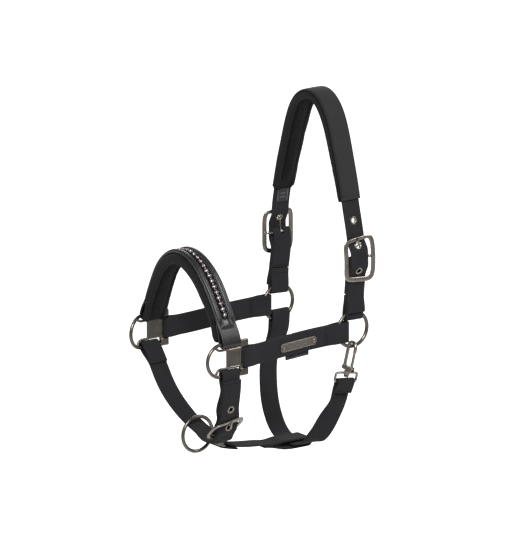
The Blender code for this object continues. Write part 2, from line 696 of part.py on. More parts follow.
def name_plate(strap, run):
    """The riveted plate on the near strap's outside, and a tab label on its inside."""
    middle, along, wide, normal = run.at(77.5)
    plate_centre = middle + normal * (CHEEK_FACE + SEAM + NAME_T / 2) - wide * PLATE_DROP
    plate = block("name_plate", plate_centre, (NAME_LEN, NAME_H, NAME_T), BRIGHT, x=along, z=normal)
    # its ends are cut off slantwise
    for end in (-1, 1):
        for edge in (-1, 1):
            tip = (middle + normal * (CHEEK_FACE + 0.9) - wide * PLATE_DROP
                   + along * (end * NAME_LEN / 2) + wide * (edge * NAME_H / 2))
            cut(plate, block("corner", tip, (5.2, 5.2, 6.0), None, x=along + wide, z=normal))
    low, high = -(CHEEK_FACE + SEAM), CHEEK_FACE + SEAM + NAME_T + 0.3
    profile = [(0, high + 0.8), (1.3, high + 0.65), (2.1, high), (1.2, high),
               (1.2, low), (2.3, low), (2.3, low - 0.7), (0, low - 0.7)]
    for tag, offset in (("front", -RIVET_ALONG), ("rear", RIVET_ALONG)):
        centre = middle - wide * PLATE_DROP + along * offset
        hole = rod("rivet_hole", centre, normal, 1.6, 16.0, None, sides=10)
        turned(f"name_plate_rivet_{tag}", centre, normal, profile, sides=10, closed=False)
        cut(plate, hole)
        cut(strap, hole)
    one_material(plate, BRIGHT)
    one_material(strap, WEBBING)
    # the folded woven tab is sewn on so that it shows below the strap
    tab_t = 1.2
    tab = (middle + along * 2.0 - normal * (CHEEK_FACE + SEAM + tab_t / 2)
           - wide * (STRAP_W / 2 + 1.0))
    block("cheek_tab_label", tab, (35.0, 12.5, tab_t), LABEL, x=along, z=normal)


for side, sign in SIDES:
    end_rise, reach = CHEEK_END[side]
    run = cheek_run(sign, end_rise)
    path = cheek_path(run.length, reach)
    strap = ribbon(f"{side}_cheek_strap", run, path, STRAP_W, STRAP_T, WEBBING)
    if side == "near":
        name_plate(strap, run)

# ---------------------------------------------------------------- noseband
NOSE_X = -2.6
# (y, z) up the near side to the bridge of the nose, mirrored down the off side
NOSE_SIDE = [
    (-FIT_Y, FIT_Z + FIT_HALF), (-77.2, 26.5), (-70.6, 43.5), (-61.8, 60.5), (-50.8, 78.6),
    (-41.2, 90.0), (-30.0, 99.3), (-17.5, 105.8), (-6.0, 108.6),
]
nose_points = [(NOSE_X - 4.6 * ease((z - 22) / 86.0), y, z) for y, z in NOSE_SIDE]


def nose_wide(point):
    """The noseband's sides open a little towards the rear."""
    y = max(-84.0, min(84.0, point.y))
    angle = math.radians(6.0) * math.sin(math.pi * abs(y) / 84.0)
    return Vector((math.cos(angle), math.copysign(math.sin(angle), y), 0))


NOSE = Run(nose_points + [(x, -y, z) for x, y, z in reversed(nose_points)], wide=nose_wide)
NOSE_MID = NOSE.length / 2
R_NOSE = FIT_BAR + 0.5 + NOSE_T / 2


def nose_height(dist):
    return R_NOSE * (1 - ease((min(dist, NOSE.length - dist) - 3) / 24))


half_s = [5 + 4 * k for k in range(7)]
half_s += steps(half_s[-1] + 7, NOSE_MID - 3.5, 7)
path = fold(NOSE_T + 0.45, R_NOSE) + [(s, nose_height(s)) for s in half_s]
path += [(NOSE.length - s, height) for s, height in reversed(path)]
ribbon("noseband_overlay", NOSE, path, NOSE_W, NOSE_T, LEATHER)

# the pad reaches a little further down the off side
pad_spans = 2 * round((NOSE_MID - 3 - 4) / 8) + 1
pad_s = [NOSE_MID + 3.6 + (i - pad_spans / 2) * 8.0 for i in range(pad_spans + 1)]
ribbon("noseband_pad", NOSE, [(s, -5.7 - NOSE_PAD_T / 2) for s in pad_s],
       NOSE_PAD_W, NOSE_PAD_T, PADDING, bevel=2.0)

BEAD_W, BEAD_T = 4.6, 1.6
bead_start = NOSE.near(38.5)
bead_s = steps(bead_start, NOSE.length - bead_start, 7)
ribbon("noseband_bead_chain", NOSE,
       [(s, nose_height(s) + NOSE_T / 2 + SEAM + BEAD_T / 2) for s in bead_s],
       BEAD_W, BEAD_T, STONES)

# ---------------------------------------------------------------- chin
SLACK = 3.0  # how far the chin strap's loops hang past the fittings' bars
CHIN_X = -3.5  # where the chin straps go round the fittings' bottom bars
FIT_BOTTOM = FIT_Z - FIT_HALF
HEEL = Vector((6.4, -52.0, -105.5))  # the chin buckle's wrapped bar
HEAD = Vector((2.2, -75.9, -84.8))  # and its end bar


def chin_buckle_axes():
    """The billet's direction through the buckle, its outward normal, and the frame's length on it."""
    span = (HEAD - HEEL).length
    direct = (HEAD - HEEL).normalized()
    wide = (ACROSS - direct * ACROSS.dot(direct)).normalized()
    tilt = math.asin((END_H - BAR_H) / span)
    along = (direct * math.cos(tilt) - wide.cross(direct) * math.sin(tilt)).normalized()
    return along, wide.cross(along), span * math.cos(tilt)


CHIN_ALONG, CHIN_OUT, CHIN_L = chin_buckle_axes()
CHIN_0 = HEEL - CHIN_OUT * BAR_H  # the billet's run passes here, at the wrapped bar
# from the off fitting under the chin to the near fitting
CHIN = Run([
    Vector((CHIN_X, FIT_Y, FIT_BOTTOM)), (CHIN_X, 67.0, -40.5), (-2.2, 54.5, -60.2),
    (1.8, 36, -83.6), (6, 19, -98.4), (8, 3, -106.8), (8, -14, -112.2), (7, -29, -117.2),
    CHIN_0 - CHIN_ALONG * 11, CHIN_0, CHIN_0 + CHIN_ALONG * CHIN_L * 0.5,
    CHIN_0 + CHIN_ALONG * CHIN_L,
    (-1.4, -79.3, -72), (-2.4, -83.4, -54), (-3.3, -86.9, -37), (CHIN_X, -87.4, FIT_BOTTOM),
])
CHIN_S = CHIN.near(CHIN_0.y, axis=1)
CHIN_TIP = CHIN.length - 5.5
CHIN_EYE, CHIN_EYE_PITCH = 20.5, 28.5  # from the bar to the first eyelet, and on to the next
CHIN_EYES = [CHIN_S + CHIN_EYE + CHIN_EYE_PITCH, CHIN_S + CHIN_EYE]


def chin_height(dist):
    past = dist - CHIN_S
    if past >= 0:
        return crest(past, *CHIN_CREST)
    return CREST * (1 - ease((-past - 5) / 13)) + R_FIT * (1 - ease((dist - 3) / 22))


def chin_line(dist, across, height):
    """A point by its distance past the chin buckle's wrapped bar."""
    return CHIN.spot(CHIN_S + dist, across, height)


chin_s = [5 + 4 * k for k in range(6)]
chin_s += steps(chin_s[-1] + 7, CHIN_S - 26, 7)
chin_s += steps(CHIN_S - 22, CHIN_S + 30, 3.2)
chin_s += steps(CHIN_S + 36, CHIN_TIP, 7)
path = fold(PITCH, R_FIT, SLACK) + [(s, chin_height(s)) for s in flat_at(chin_s, CHIN_EYES)]
chin_strap = ribbon("chin_strap", CHIN, path, STRAP_W, STRAP_T, WEBBING)
cut_strap(chin_strap, *[eyelet(f"chin_eyelet_{k + 1}", CHIN, s, chin_height)
                        for k, s in enumerate(CHIN_EYES)])

chin_frame = buckle_frame(
    "chin_buckle_frame", lambda dist, across, height: chin_line(dist, across - 1.7, height),
    CHIN_L / 2, CHIN_BUCKLE_HW, CHIN_L / 2,
    lambda u: BAR_H + (END_H - BAR_H) * max(0.0, (u + 1) / 2) ** 1.3, side_r=2.7, heel_r=BAR_R)
one_material(chin_frame, BRIGHT)
tongue("chin_buckle_tongue", chin_line,
       [(13.0, -0.6), (18.4, 0.6), (22.4, 5.3), (24.6, 6.0), (CHIN_L + 2.2, TIP_H)])


def chin_buckle_strap():
    """The doubled strap from the near fitting's bottom bar down to the chin buckle's wrapped bar."""
    fit_s, fit_h = CHIN.locate((CHIN_X, -FIT_Y, FIT_BOTTOM), CHIN.length)

    def hanging(dist):
        """The inner layer hangs away from the outer one between the fitting and the buckle."""
        u = min(max((dist - CHIN_S - 10) / (fit_s - 14 - CHIN_S - 10), 0.0), 1.0)
        return dist, INNER - 5.0 * math.sin(math.pi * u) ** 2

    path = [hanging(s) for s in steps(CHIN_S + 34, CHIN_S + 14, 5)]
    path.append((CHIN_S + 8, (INNER + BAR_H - R_BAR) / 2))
    path += turn(CHIN_S, BAR_H, R_BAR, 270, 90)
    outer_s = steps(CHIN_S + 3.5, CHIN_S + 30, 3.2) + steps(CHIN_S + 36, fit_s - 22, 6)
    for s in flat_at(outer_s, CHIN_EYES):
        drop = 0.7 if beside_eye(s, CHIN_EYES) else 0.1
        path.append((s, OUTER + crest(s - CHIN_S, *CHIN_CREST) - drop))
    path += ramp(fit_s - 22, 5, OUTER, fit_h + R_FIT, 4)
    path += turn(fit_s + SLACK, fit_h, R_FIT, 90, -90)
    path += ramp(fit_s - 2, -5, fit_h - R_FIT, INNER, 4)
    path += [hanging(s) for s in steps(fit_s - 27, CHIN_S + 36, 6)]
    strap = ribbon("chin_buckle_strap", CHIN, path, STRAP_W, STRAP_T, WEBBING)
    # slots for the tongue: through the fold, and through the layers past the bar
    cut_strap(strap,
              block("slot", chin_line(-2.6, 0, 0), (5.0, 12.0, 18.0), None, z=CHIN_OUT),
              block("slot_up", chin_line(12.3, 0, 2.4), (5.0, 18.2, 12.0), None, z=CHIN_OUT))


chin_buckle_strap()
ring("chin_ring", Vector((8.0, 0.0, -118.0)))

# the rectangular link between the chin ring and the jaw strap, sloping down to the rear
LINK = Vector((27.5, -3.5, -130.0))
LINK_TILT = math.radians(22)
LINK_X = Vector((math.cos(LINK_TILT), 0, -math.sin(LINK_TILT)))
LINK_HX, LINK_HY, LINK_R = 6.0, 17.5, 1.6
LINK_BAR = LINK + LINK_X * LINK_HX
link_points = [LINK + LINK_X * u + Vector((0, v, 0))
               for u, v in rounded_rectangle(LINK_HX, LINK_HY, 2.4)]
link = wire("jaw_link", link_points, LINK_R, GUNMETAL, closed=True)
one_material(link, GUNMETAL)
own_origin(link, LINK_BAR)

# ---------------------------------------------------------------- jaw strap
# from the link to the rear, ending in a flat loop that holds the throat strap
JAW = Run([LINK_BAR, (52, -3, -137.5), (75, -1.5, -141.8), (100, 0, -145.0), (120, 0, -148.4),
           (137, 0, -150.5), (150.0, 0.0, -150.8)], wide=Vector((0, -1, 0)))
R_LINK = wrap(LINK_R)
R_LOOP = 4.8  # half height of the throat strap's loop
jaw_end = JAW.length
loop_s = [jaw_end + s for s in (-16, -8, 0, 7)]
path = fold(PITCH, R_LINK)
path += [(5 + 4 * k, R_LINK * (1 - ease((2 + 4 * k) / 20))) for k in range(5)]
path += [(s, 0.0) for s in steps(30, jaw_end - 42, 8)]
path += ramp(jaw_end - 43, 5, 0.0, R_LOOP, 5)
path += [(s, R_LOOP) for s in loop_s]
path += turn(jaw_end + 13, 0, R_LOOP, 90, -90)
path += [(s, -R_LOOP) for s in reversed(loop_s)]
path += ramp(jaw_end - 18, -5, -R_LOOP, -PITCH, 5)
path += [(s, -PITCH) for s in (jaw_end - 44, jaw_end - 52)]
ribbon("jaw_strap", JAW, path, STRAP_W, STRAP_T, WEBBING)

# ---------------------------------------------------------------- snap hook, hung on the near ring
HOOK_TOP = Vector((RING_X, -RING_Y, RING_Z - RING_R))  # where the ring's wire passes through it
SNAP_END = Vector((174.2, -70.2, -64.6))  # the swivel loop's strap bar
SNAP_Z = (HOOK_TOP - SNAP_END).normalized()
SNAP_X = (ACROSS - SNAP_Z * ACROSS.dot(SNAP_Z)).normalized()
SNAP_Y = SNAP_Z.cross(SNAP_X)

ARM, ARM_R = 6.7, 2.1  # from the stem's axis to each side of the hook, and the hook's bar
ARCH_Z = -1.9  # centre of the hook's arch
STEM_Z = -34.0
PIN_Z = -27.2  # the gate's pin, on the outer side
PIN_BORE = 0.95
LOOP_TOP, LOOP_BOTTOM = -33.6, -(HOOK_TOP - SNAP_END).length
LOOP_HW, LOOP_R = 15.9, 1.5


def snap(x, y, z):
    """A point in the snap's frame: z up its stem from the ring's wire, y to its inner side."""
    return HOOK_TOP + SNAP_X * x + SNAP_Y * y + SNAP_Z * z


def snap_block(name, y, z, size, mat=None):
    return block(name, snap(0, y, z), size, mat, x=SNAP_X, z=SNAP_Z)


def pin_rod(name, radius, length, mat=None, sides=12):
    return rod(name, snap(0, -ARM, PIN_Z), SNAP_X, radius, length, mat, sides)


def snap_hook():
    """The hook from its outer tip over the arch and down, with the base, lugs and stem."""
    angles = [math.radians(a) for a in range(0, 181, 15)]
    points = [snap(0, -ARM, -6.0)]
    points += [snap(0, -ARM * math.cos(a), ARCH_Z + ARM * math.sin(a)) for a in angles]
    points += [snap(0, ARM, z) for z in (-12.0, -20.0, -27.0)]
    hook = wire("snap_hook_body", points, ARM_R, BRIGHT)
    join(hook,
         snap_block("base", 1.6, -28.0, (6.4, 14.6, 5.0)),
         snap_block("lugs", -ARM, -27.6, (6.4, 6.2, 6.4)),
         rod("stem", snap(0, 0, STEM_Z), SNAP_Z, 1.7, 9.0, None, sides=16),
         rod("head", snap(0, 0, -37.6), SNAP_Z, 3.1, 2.0, None, sides=16))
    cut(hook, snap_block("gate_slot", -ARM - 0.2, PIN_Z + 2.2, (3.5, 8.4, 10.0)),
        pin_rod("pin_bore", PIN_BORE, 12.0))
    one_material(hook, BRIGHT)
    own_origin(hook, snap(0, 0, STEM_Z))


def snap_gate():
    """The gate, which turns on the pin, and a light wire spring between it and the hook's base."""
    pin_rod("snap_gate_pin", 0.65, 6.2, BRIGHT)
    gate = snap_block("snap_gate", -ARM, -15.9, (2.8, 3.0, 16.6), BRIGHT)
    eye = pin_rod("gate_eye", 1.9, 2.8, sides=16)
    join(gate, snap_block("neck", -ARM, -24.5, (2.8, 2.4, 4.0)), eye)
    cut(gate, pin_rod("gate_bore", PIN_BORE, 9.0))
    one_material(gate, BRIGHT)
    own_origin(gate, snap(0, -ARM, PIN_Z))
    spring = [(-2.4, -25.1), (-2.0, -24.0), (-3.2, -22.6), (-4.55, -21.0), (-4.75, -18.0)]
    wire("snap_gate_spring", [snap(0, y, z) for y, z in spring], 0.3, GUNMETAL)


def swivel_loop():
    """The rectangular loop for the throat strap, with a bored boss round the stem."""
    middle, half = (LOOP_TOP + LOOP_BOTTOM) / 2, (LOOP_TOP - LOOP_BOTTOM) / 2
    points = [snap(u, 0, middle + v) for u, v in rounded_rectangle(LOOP_HW, half, 2.0)]
    loop = wire("snap_swivel_loop", points, LOOP_R, BRIGHT, closed=True)
    top = snap(0, 0, LOOP_TOP)
    join(loop, rod("boss", top, SNAP_Z, 3.7, 4.6, None, sides=20))
    cut(loop, rod("swivel_bore", top, SNAP_Z, 2.1, 12.0, None, sides=20))
    one_material(loop, BRIGHT)


snap_hook()
snap_gate()
swivel_loop()

# ---------------------------------------------------------------- throat strap
THROAT_X = 182.9  # clear of the cheek strap's end
FACING = Vector((0.88, -0.46, -0.1))  # the near half of the strap turns its face forward


def throat_wide(point):
    if point.y >= 0:
        return ACROSS
    facing = ACROSS.lerp(FACING, ease((-point.y - 24) / 18))
    return facing.lerp(SNAP_X, ease((point.z + 122) / 34))


# from the off ring down through the jaw strap's loop and up to the snap
THROAT = Run([
    (THROAT_X, RING_Y, RING_Z - RING_R), (182.4, 76.4, -34), (179.2, 79.8, -48), (173, 82, -72),
    (167.6, 76.0, -96), (162.5, 66.0, -116), (157.5, 50.6, -134.5), (153.3, 32, -146.8),
    (150.5, 14, -150.6), (150, 0, -151.0), (150.8, -14, -150.4), (152.3, -29, -145.5),
    (155.2, -45.3, -131.6), (160.6, -57.2, -110), (169.8, -64.0, -88.4), (172.6, -66.8, -76.2),
    tuple(SNAP_END),
], wide=throat_wide)
R_SNAP = wrap(LOOP_R) + 0.15
throat_end = THROAT.length
path = [(38 - 4 * k, -PITCH) for k in range(4)]
path += [(s, -PITCH - (R_RING - PITCH) * share) for s, share in ((20, 0.3), (13, 0.8))]
path.append((6, -R_RING - 0.1))
path += turn(-(RING_REACH + 3.8), 0, R_RING + 0.25, 270, 90)
path.append((6, R_RING + 0.25))
path += ramp(6, 5, R_RING, 0.0, 6)
path += [(s, 0.0) for s in steps(40, throat_end - 34, 7)]
path += ramp(throat_end - 35, 5, 0.0, -R_SNAP, 6)
path += turn(throat_end, 0, R_SNAP, -90, 90)
path += [(throat_end - back, R_SNAP - drop) for back, drop in ((5, 0.0), (9, 0.1), (14, 0.45))]
ribbon("throat_strap", THROAT, path, STRAP_W, STRAP_T, WEBBING)
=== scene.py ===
"""The looks of a horse's webbing headcollar with a padded crown and a beaded leather noseband.

Lengths are millimetres in the design frame: +X runs from the noseband back to the crown, the near
side is at -Y and the off side at +Y, +Z is up, and zero lies on the mid plane level with the side
rings. place() moves a point to the row frame, in metres, whose origin is the middle of the crown
pad's underside. Each CAD node keeps its place and body; a finer piece stands for it.
"""

import json
import math

import bmesh
import bpy
import numpy as np
from mathutils import Matrix, Vector
from mathutils.kdtree import KDTree

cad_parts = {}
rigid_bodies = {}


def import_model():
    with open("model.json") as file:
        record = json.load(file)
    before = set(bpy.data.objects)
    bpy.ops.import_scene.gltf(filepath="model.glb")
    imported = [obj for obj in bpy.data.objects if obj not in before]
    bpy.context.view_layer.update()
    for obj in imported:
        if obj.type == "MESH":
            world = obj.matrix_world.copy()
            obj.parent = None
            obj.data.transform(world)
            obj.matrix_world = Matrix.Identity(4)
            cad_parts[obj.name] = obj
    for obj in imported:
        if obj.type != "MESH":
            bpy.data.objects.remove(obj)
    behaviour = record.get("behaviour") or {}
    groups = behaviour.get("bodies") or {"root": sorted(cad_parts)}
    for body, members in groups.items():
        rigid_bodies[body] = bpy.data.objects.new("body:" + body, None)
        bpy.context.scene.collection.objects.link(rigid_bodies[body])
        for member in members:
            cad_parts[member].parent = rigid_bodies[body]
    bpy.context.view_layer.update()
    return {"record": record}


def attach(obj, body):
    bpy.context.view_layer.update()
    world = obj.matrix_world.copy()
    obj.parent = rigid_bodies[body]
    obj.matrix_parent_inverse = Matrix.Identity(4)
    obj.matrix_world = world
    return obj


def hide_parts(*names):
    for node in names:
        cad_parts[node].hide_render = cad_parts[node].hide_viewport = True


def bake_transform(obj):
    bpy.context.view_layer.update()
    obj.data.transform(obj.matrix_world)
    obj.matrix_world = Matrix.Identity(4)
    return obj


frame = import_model()
BODY = {node: body for body, nodes in frame["record"]["behaviour"]["bodies"].items()
        for node in nodes}
SIDES = (("near", -1), ("off", 1))

# ------------------------------------------------------------ driving dimensions, millimetres
STRAP_W = 25.0  # webbing width
STRAP_T = 2.2  # webbing thickness
STRAP_FACE = STRAP_T / 2  # from a strap's middle to its face
GAP = 0.4  # play between a strap loop and its bar
PITCH = 2.75  # from one webbing layer's middle to the next one's
LIFT = 2.9  # from a buckle strap's outer layer to the billet lying on it

COVER_W, COVER_T = 30.0, 2.2  # padded sleeve's outer face on the crown
COVER_IN = STRAP_FACE + 0.3  # from the crown strap's middle to the sleeve and the pad
PAD_T = 6.0  # crown pad
PAD_STEP = 8.0  # between the crown pad's stations
PAD_IN = COVER_IN + PAD_T  # from the strap's middle to the pad's underside
CROWN_SEAM = 9.5  # from the crown pad's middle to each seam
CROWN_X = 181.5

FIT_X, FIT_Y, FIT_Z = 2.0, 81.0, -6.0  # middle of each cast cheek fitting
FIT_BAR = 2.2  # radius of a fitting's bars
FIT_HALF = 19.8  # from the middle to its top and bottom bars
FIT_REAR = 18.5  # from the middle to its rear bar
FIT_DEE = 17.5  # from the middle forward to the D's centre

RING_X, RING_Y, RING_Z = 181.6, 75.0, 0.0  # middle of each side ring
RING_R, RING_WIRE = 21.25, 2.25
RING_REACH = 4.4  # a flat strap sits this far inside the ring's curve

BUCKLE_Z = 87.0  # centre bar of each crown buckle
BUCKLE_H, BUCKLE_HW = 24.8, 19.6  # half height and half width, to the middle of its bars
BAR_R = 1.7  # buckle bar that the strap wraps
FRAME_T = 1.3  # half thickness of a buckle frame
CREST = 5.4  # how far a billet rises over the wrapped bar
BAR_H = CREST - (STRAP_T / 2 + 0.7 + STRAP_T + GAP + BAR_R)  # wrapped bar, off the billet's run
END_H = STRAP_T / 2 + 0.5 + FRAME_T  # end bar, off the billet's run
TIP_H = END_H + FRAME_T + 0.35 + 0.95  # tongue's tip, lying on the end bar

NOSE_W, NOSE_T = 26.0, 2.6  # leather overlay
NOSE_PAD_W, NOSE_PAD_T = 33.0, 8.0
NOSE_PAD_TOP = 5.7  # from the noseband's run in to its pad
NOSE_SEAM = 10.6  # from the noseband pad's middle to each seam

EYE_R, EYE_BORE = 4.5, 2.75
EYE_FLAT = 5.3  # a strap stays flat this far each side of an eyelet
EYE_PITCH = 30.6
NAME_LEN, NAME_H, NAME_T = 54.0, 11.0, 1.2

# middle radius of a strap looped round each kind of bar
R_FIT = FIT_BAR + GAP + STRAP_T / 2
R_RING = RING_WIRE + GAP + STRAP_T / 2
R_BUCKLE = BAR_R + GAP + STRAP_T / 2
INNER, OUTER = -LIFT - PITCH, -LIFT  # a buckle strap's two layers, off the billet's run

UP = Vector((0, 0, 1))
ACROSS = Vector((1, 0, 0))

PARTS = bpy.data.collections.new("headcollar_looks")
CUTTERS = bpy.data.collections.new("tools")
for collection in (PARTS, CUTTERS):
    bpy.context.scene.collection.children.link(collection)


# ------------------------------------------------------------ materials, all procedural
class Shader:
    """A material being built round its Principled node."""

    def __init__(self, name):
        self.material = bpy.data.materials.new(name)
        self.material.use_nodes = True
        self.tree = self.material.node_tree
        self.surface = self.tree.nodes["Principled BSDF"]

    def fill(self, node, inputs):
        """Links each input that is given a socket and sets the others."""
        for key, value in inputs.items():
            if isinstance(value, bpy.types.NodeSocket):
                self.tree.links.new(value, node.inputs[key])
            else:
                node.inputs[key].default_value = value

    def node(self, kind, inputs, **settings):
        node = self.tree.nodes.new("ShaderNode" + kind)
        for key, value in settings.items():
            setattr(node, key, value)
        self.fill(node, inputs)
        return node

    def coordinates(self, output, scale=None):
        source = self.node("TexCoord", {}).outputs[output]
        if scale is None:
            return source
        return self.node("Mapping", {"Scale": (scale,) * 3, "Vector": source}).outputs["Vector"]

    def noise(self, vector, scale, detail, roughness=0.5):
        return self.node("TexNoise", {"Scale": scale, "Detail": detail, "Roughness": roughness,
                                      "Vector": vector})

    def multiply(self, first, second, then_add=None):
        """first * second, with then_add on top if it is given."""
        if then_add is None:
            return self.node("Math", {0: first, 1: second}, operation="MULTIPLY").outputs[0]
        return self.node("Math", {0: first, 1: second, 2: then_add},
                         operation="MULTIPLY_ADD").outputs[0]

    def warped(self, vector, noise, amount):
        """vector pushed about by a noise's colour."""
        return self.node("VectorMath", {0: noise.outputs["Color"], 1: (amount,) * 3, 2: vector},
                         operation="MULTIPLY_ADD").outputs["Vector"]

    def bump(self, height, strength, distance):
        node = self.node("Bump", {"Strength": strength, "Distance": distance, "Height": height})
        self.fill(self.surface, {"Normal": node.outputs["Normal"]})

    def ramp(self, factor, stops):
        """A colour ramp through (position, colour) stops."""
        node = self.node("ValToRGB", {"Fac": factor})
        elements = node.color_ramp.elements
        for end in (0, -1):
            elements[end].position, elements[end].color = stops[end][0], (*stops[end][1], 1)
        for position, colour in stops[1:-1]:
            elements.new(position).color = (*colour, 1)
        return node.outputs["Color"]


def srgb(*levels):
    """Linear colour from 8-bit sRGB levels."""
    return np.array([((v / 255 / 12.92) if v / 255 <= 0.04045
                      else ((v / 255 + 0.055) / 1.055) ** 2.4) for v in levels])


WAVE_SCALE = 0.314159  # a Wave node's scale times the spacing of its bands


def cloth(name, colour, ribs, bump, sheen=0.25, mottle=0.16, rough=0.86, coordinate="UV"):
    """A woven face with yarn-scale and broad variation.

    ribs are the spacings of the ribs along X and Y in mm; UVs are in mm, object space in metres.
    """
    shader = Shader(name)
    base = shader.coordinates(coordinate, {"UV": 1.0, "Object": 1000.0}[coordinate])
    uneven = shader.warped(base, shader.noise(base, scale=0.35, detail=2.0), amount=0.25)
    waves = [
        shader.node("TexWave", {"Scale": WAVE_SCALE / spacing, "Distortion": 0.35, "Detail": 1.0,
                                "Detail Scale": 1.5, "Vector": uneven},
                    wave_type="BANDS", bands_direction=direction, wave_profile="SIN")
        for direction, spacing in zip("XY", ribs)
    ]
    weave = shader.multiply(waves[0].outputs["Fac"], waves[1].outputs["Fac"])
    fuzz = shader.noise(base, scale=2.4, detail=4.0, roughness=0.65)
    height = shader.multiply(fuzz.outputs["Fac"], 0.55, weave)
    shader.bump(height, strength=bump, distance=0.0002)
    broad = shader.noise(base, scale=0.05, detail=3.0)
    shade = shader.multiply(broad.outputs["Fac"], 0.5, shader.multiply(height, 0.5))
    shader.fill(shader.surface, {
        "Base Color": shader.ramp(shade, [
            (0.25, colour * (1 - mottle * 1.6)),
            (0.55, colour),
            (0.95, np.minimum(colour * (1 + mottle * 2.2), 1)),
        ]),
        "Roughness": rough,
        "Sheen Weight": sheen,
        "Sheen Roughness": 0.45,
        "Specular IOR Level": 0.10,
    })
    return shader.material


def metal(name, colour, rough, brushed=0.12):
    """A cast metal, lighter on its edges; brushed is how far its roughness strays."""
    shader = Shader(name)
    colour = np.array(colour)
    coords = shader.coordinates("Object")
    grain = shader.noise(coords, scale=900.0, detail=5.0, roughness=0.6)
    cloud = shader.noise(coords, scale=90.0, detail=3.0).outputs["Fac"]
    gloss = shader.node("MapRange", {"To Min": rough - brushed, "To Max": rough + brushed,
                                     "Value": cloud})
    shader.bump(grain.outputs["Fac"], strength=0.08, distance=0.0001)
    pointiness = shader.node("NewGeometry", {}).outputs["Pointiness"]
    edge = shader.node("MapRange", {"From Min": 0.5, "From Max": 0.62, "Value": pointiness})
    body = shader.ramp(cloud, [
        (0.3, colour * 0.86), (0.5, colour), (0.75, np.minimum(colour * 1.12, 1)),
    ])
    # convex edges, found by pointiness, are mixed towards a lighter colour
    lighter_edge = (*np.minimum(colour * 1.35, 1), 1)
    mix = shader.node("Mix", {"Factor": edge.outputs["Result"], "A": body, "B": lighter_edge},
                      data_type="RGBA")
    shader.fill(shader.surface, {
        "Roughness": gloss.outputs["Result"],
        "Base Color": mix.outputs["Result"],
        "Metallic": 1.0,
    })
    return shader.material


def leather(name, colour):
    shader = Shader(name)
    base = shader.coordinates("Object", 1000)
    uneven = shader.warped(base, shader.noise(base, scale=0.8, detail=2.0), amount=0.9)
    cells = shader.node("TexVoronoi", {"Scale": 1.25, "Vector": uneven},
                        feature="DISTANCE_TO_EDGE")
    grain = shader.node("MapRange", {"From Max": 0.22, "Value": cells.outputs["Distance"]})
    fine = shader.noise(base, scale=3.0, detail=5.0, roughness=0.7).outputs["Fac"]
    height = shader.multiply(fine, 0.5, grain.outputs["Result"])
    shader.bump(height, strength=0.38, distance=0.00018)
    gloss = shader.node("MapRange", {"To Min": 0.24, "To Max": 0.36, "Value": fine})
    shader.fill(shader.surface, {
        "Base Color": shader.ramp(height, [(0.2, colour * 0.6), (0.9, colour),
                                           (1.4, colour * 1.3)]),
        "Roughness": gloss.outputs["Result"],
        "Coat Weight": 0.15,
        "Coat Roughness": 0.25,
        "Specular IOR Level": 0.5,
    })
    return shader.material


def clear_stone(name):
    shader = Shader(name)
    shader.fill(shader.surface, {
        "Base Color": (0.58, 0.49, 0.51, 1),
        "Metallic": 0.75,
        "Roughness": 0.07,
        "Coat Weight": 1.0,
        "Coat Roughness": 0.02,
    })
    return shader.material


WEBBING = cloth("webbing", srgb(37, 37, 39), ribs=(1.05, 0.85), bump=0.55, sheen=0.05)
SLEEVE = cloth("sleeve", srgb(44, 44, 45), ribs=(0.7, 0.7), bump=0.3, sheen=0.08, mottle=0.08)
PADDING = cloth("padding", srgb(19, 19, 20), ribs=(0.8, 0.8), bump=0.45, sheen=0.05,
                mottle=0.12, rough=0.9)
# a lighter copy of the padding for the rolls outside the pads' seams: painted light on the raised
# rolls
PAD_ROLL_LIT = cloth("pad_roll_painted_light", srgb(31, 31, 32), ribs=(0.8, 0.8), bump=0.45, sheen=0.06,
                 mottle=0.10, rough=0.9)
LEATHER_THREAD = cloth("leather_thread", srgb(104, 104, 106), ribs=(0.5, 0.5), bump=0.2,
                       sheen=0.0, mottle=0.05, rough=0.5, coordinate="Object")
LEATHER = leather("leather", srgb(17, 17, 18))
GUNMETAL = metal("gunmetal", (0.150, 0.135, 0.118), rough=0.30)
BRIGHT = metal("light_gunmetal", (0.275, 0.248, 0.218), rough=0.28)
CUPS = metal("bead_cups", (0.15, 0.138, 0.142), rough=0.20, brushed=0.06)
# the beads' dark channel cloth; the pads' dark seam cords also use it, as painted seam shade
CHANNEL = cloth("channel", srgb(14, 14, 15), ribs=(0.6, 0.6), bump=0.3, sheen=0.0,
                mottle=0.1, rough=0.85, coordinate="Object")
LABEL = cloth("woven_label", srgb(46, 46, 50), ribs=(0.5, 0.5), bump=0.3, coordinate="Object")
LABEL_MARK = cloth("woven_label_lines", srgb(118, 120, 126), ribs=(0.5, 0.5), bump=0.3,
                   coordinate="Object")
THREAD = cloth("thread", srgb(15, 15, 16), ribs=(0.5, 0.5), bump=0.2, sheen=0.05,
               mottle=0.05, rough=0.6, coordinate="Object")
DARK_THREAD = cloth("dark_thread", srgb(12, 12, 13), ribs=(0.5, 0.5), bump=0.2, sheen=0.03,
                    mottle=0.05, rough=0.65, coordinate="Object")
PLATE = metal("name_plate_metal", (0.168, 0.154, 0.138), rough=0.34)
ORNAMENT = metal("ornament_metal", (0.24, 0.22, 0.20), rough=0.3)
RIVET = metal("rivet_metal", (0.26, 0.22, 0.165), rough=0.26)
STONES = clear_stone("clear_stones")


# ------------------------------------------------------------ small sums
def steps(start, end, step):
    count = max(1, round(abs(end - start) / step))
    return [start + (end - start) * i / count for i in range(count + 1)]


def ease(x):
    x = min(max(x, 0.0), 1.0)
    return x * x * (3 - 2 * x)


def signed_power(value, power):
    return math.copysign(abs(value) ** power, value)


def arc(x, y, radius, first, last, count=8):
    """Points about (x, y) from one angle to another, in degrees."""
    angles = [math.radians(first + (last - first) * k / count) for k in range(count + 1)]
    return [(x + radius * math.cos(angle), y + radius * math.sin(angle)) for angle in angles]


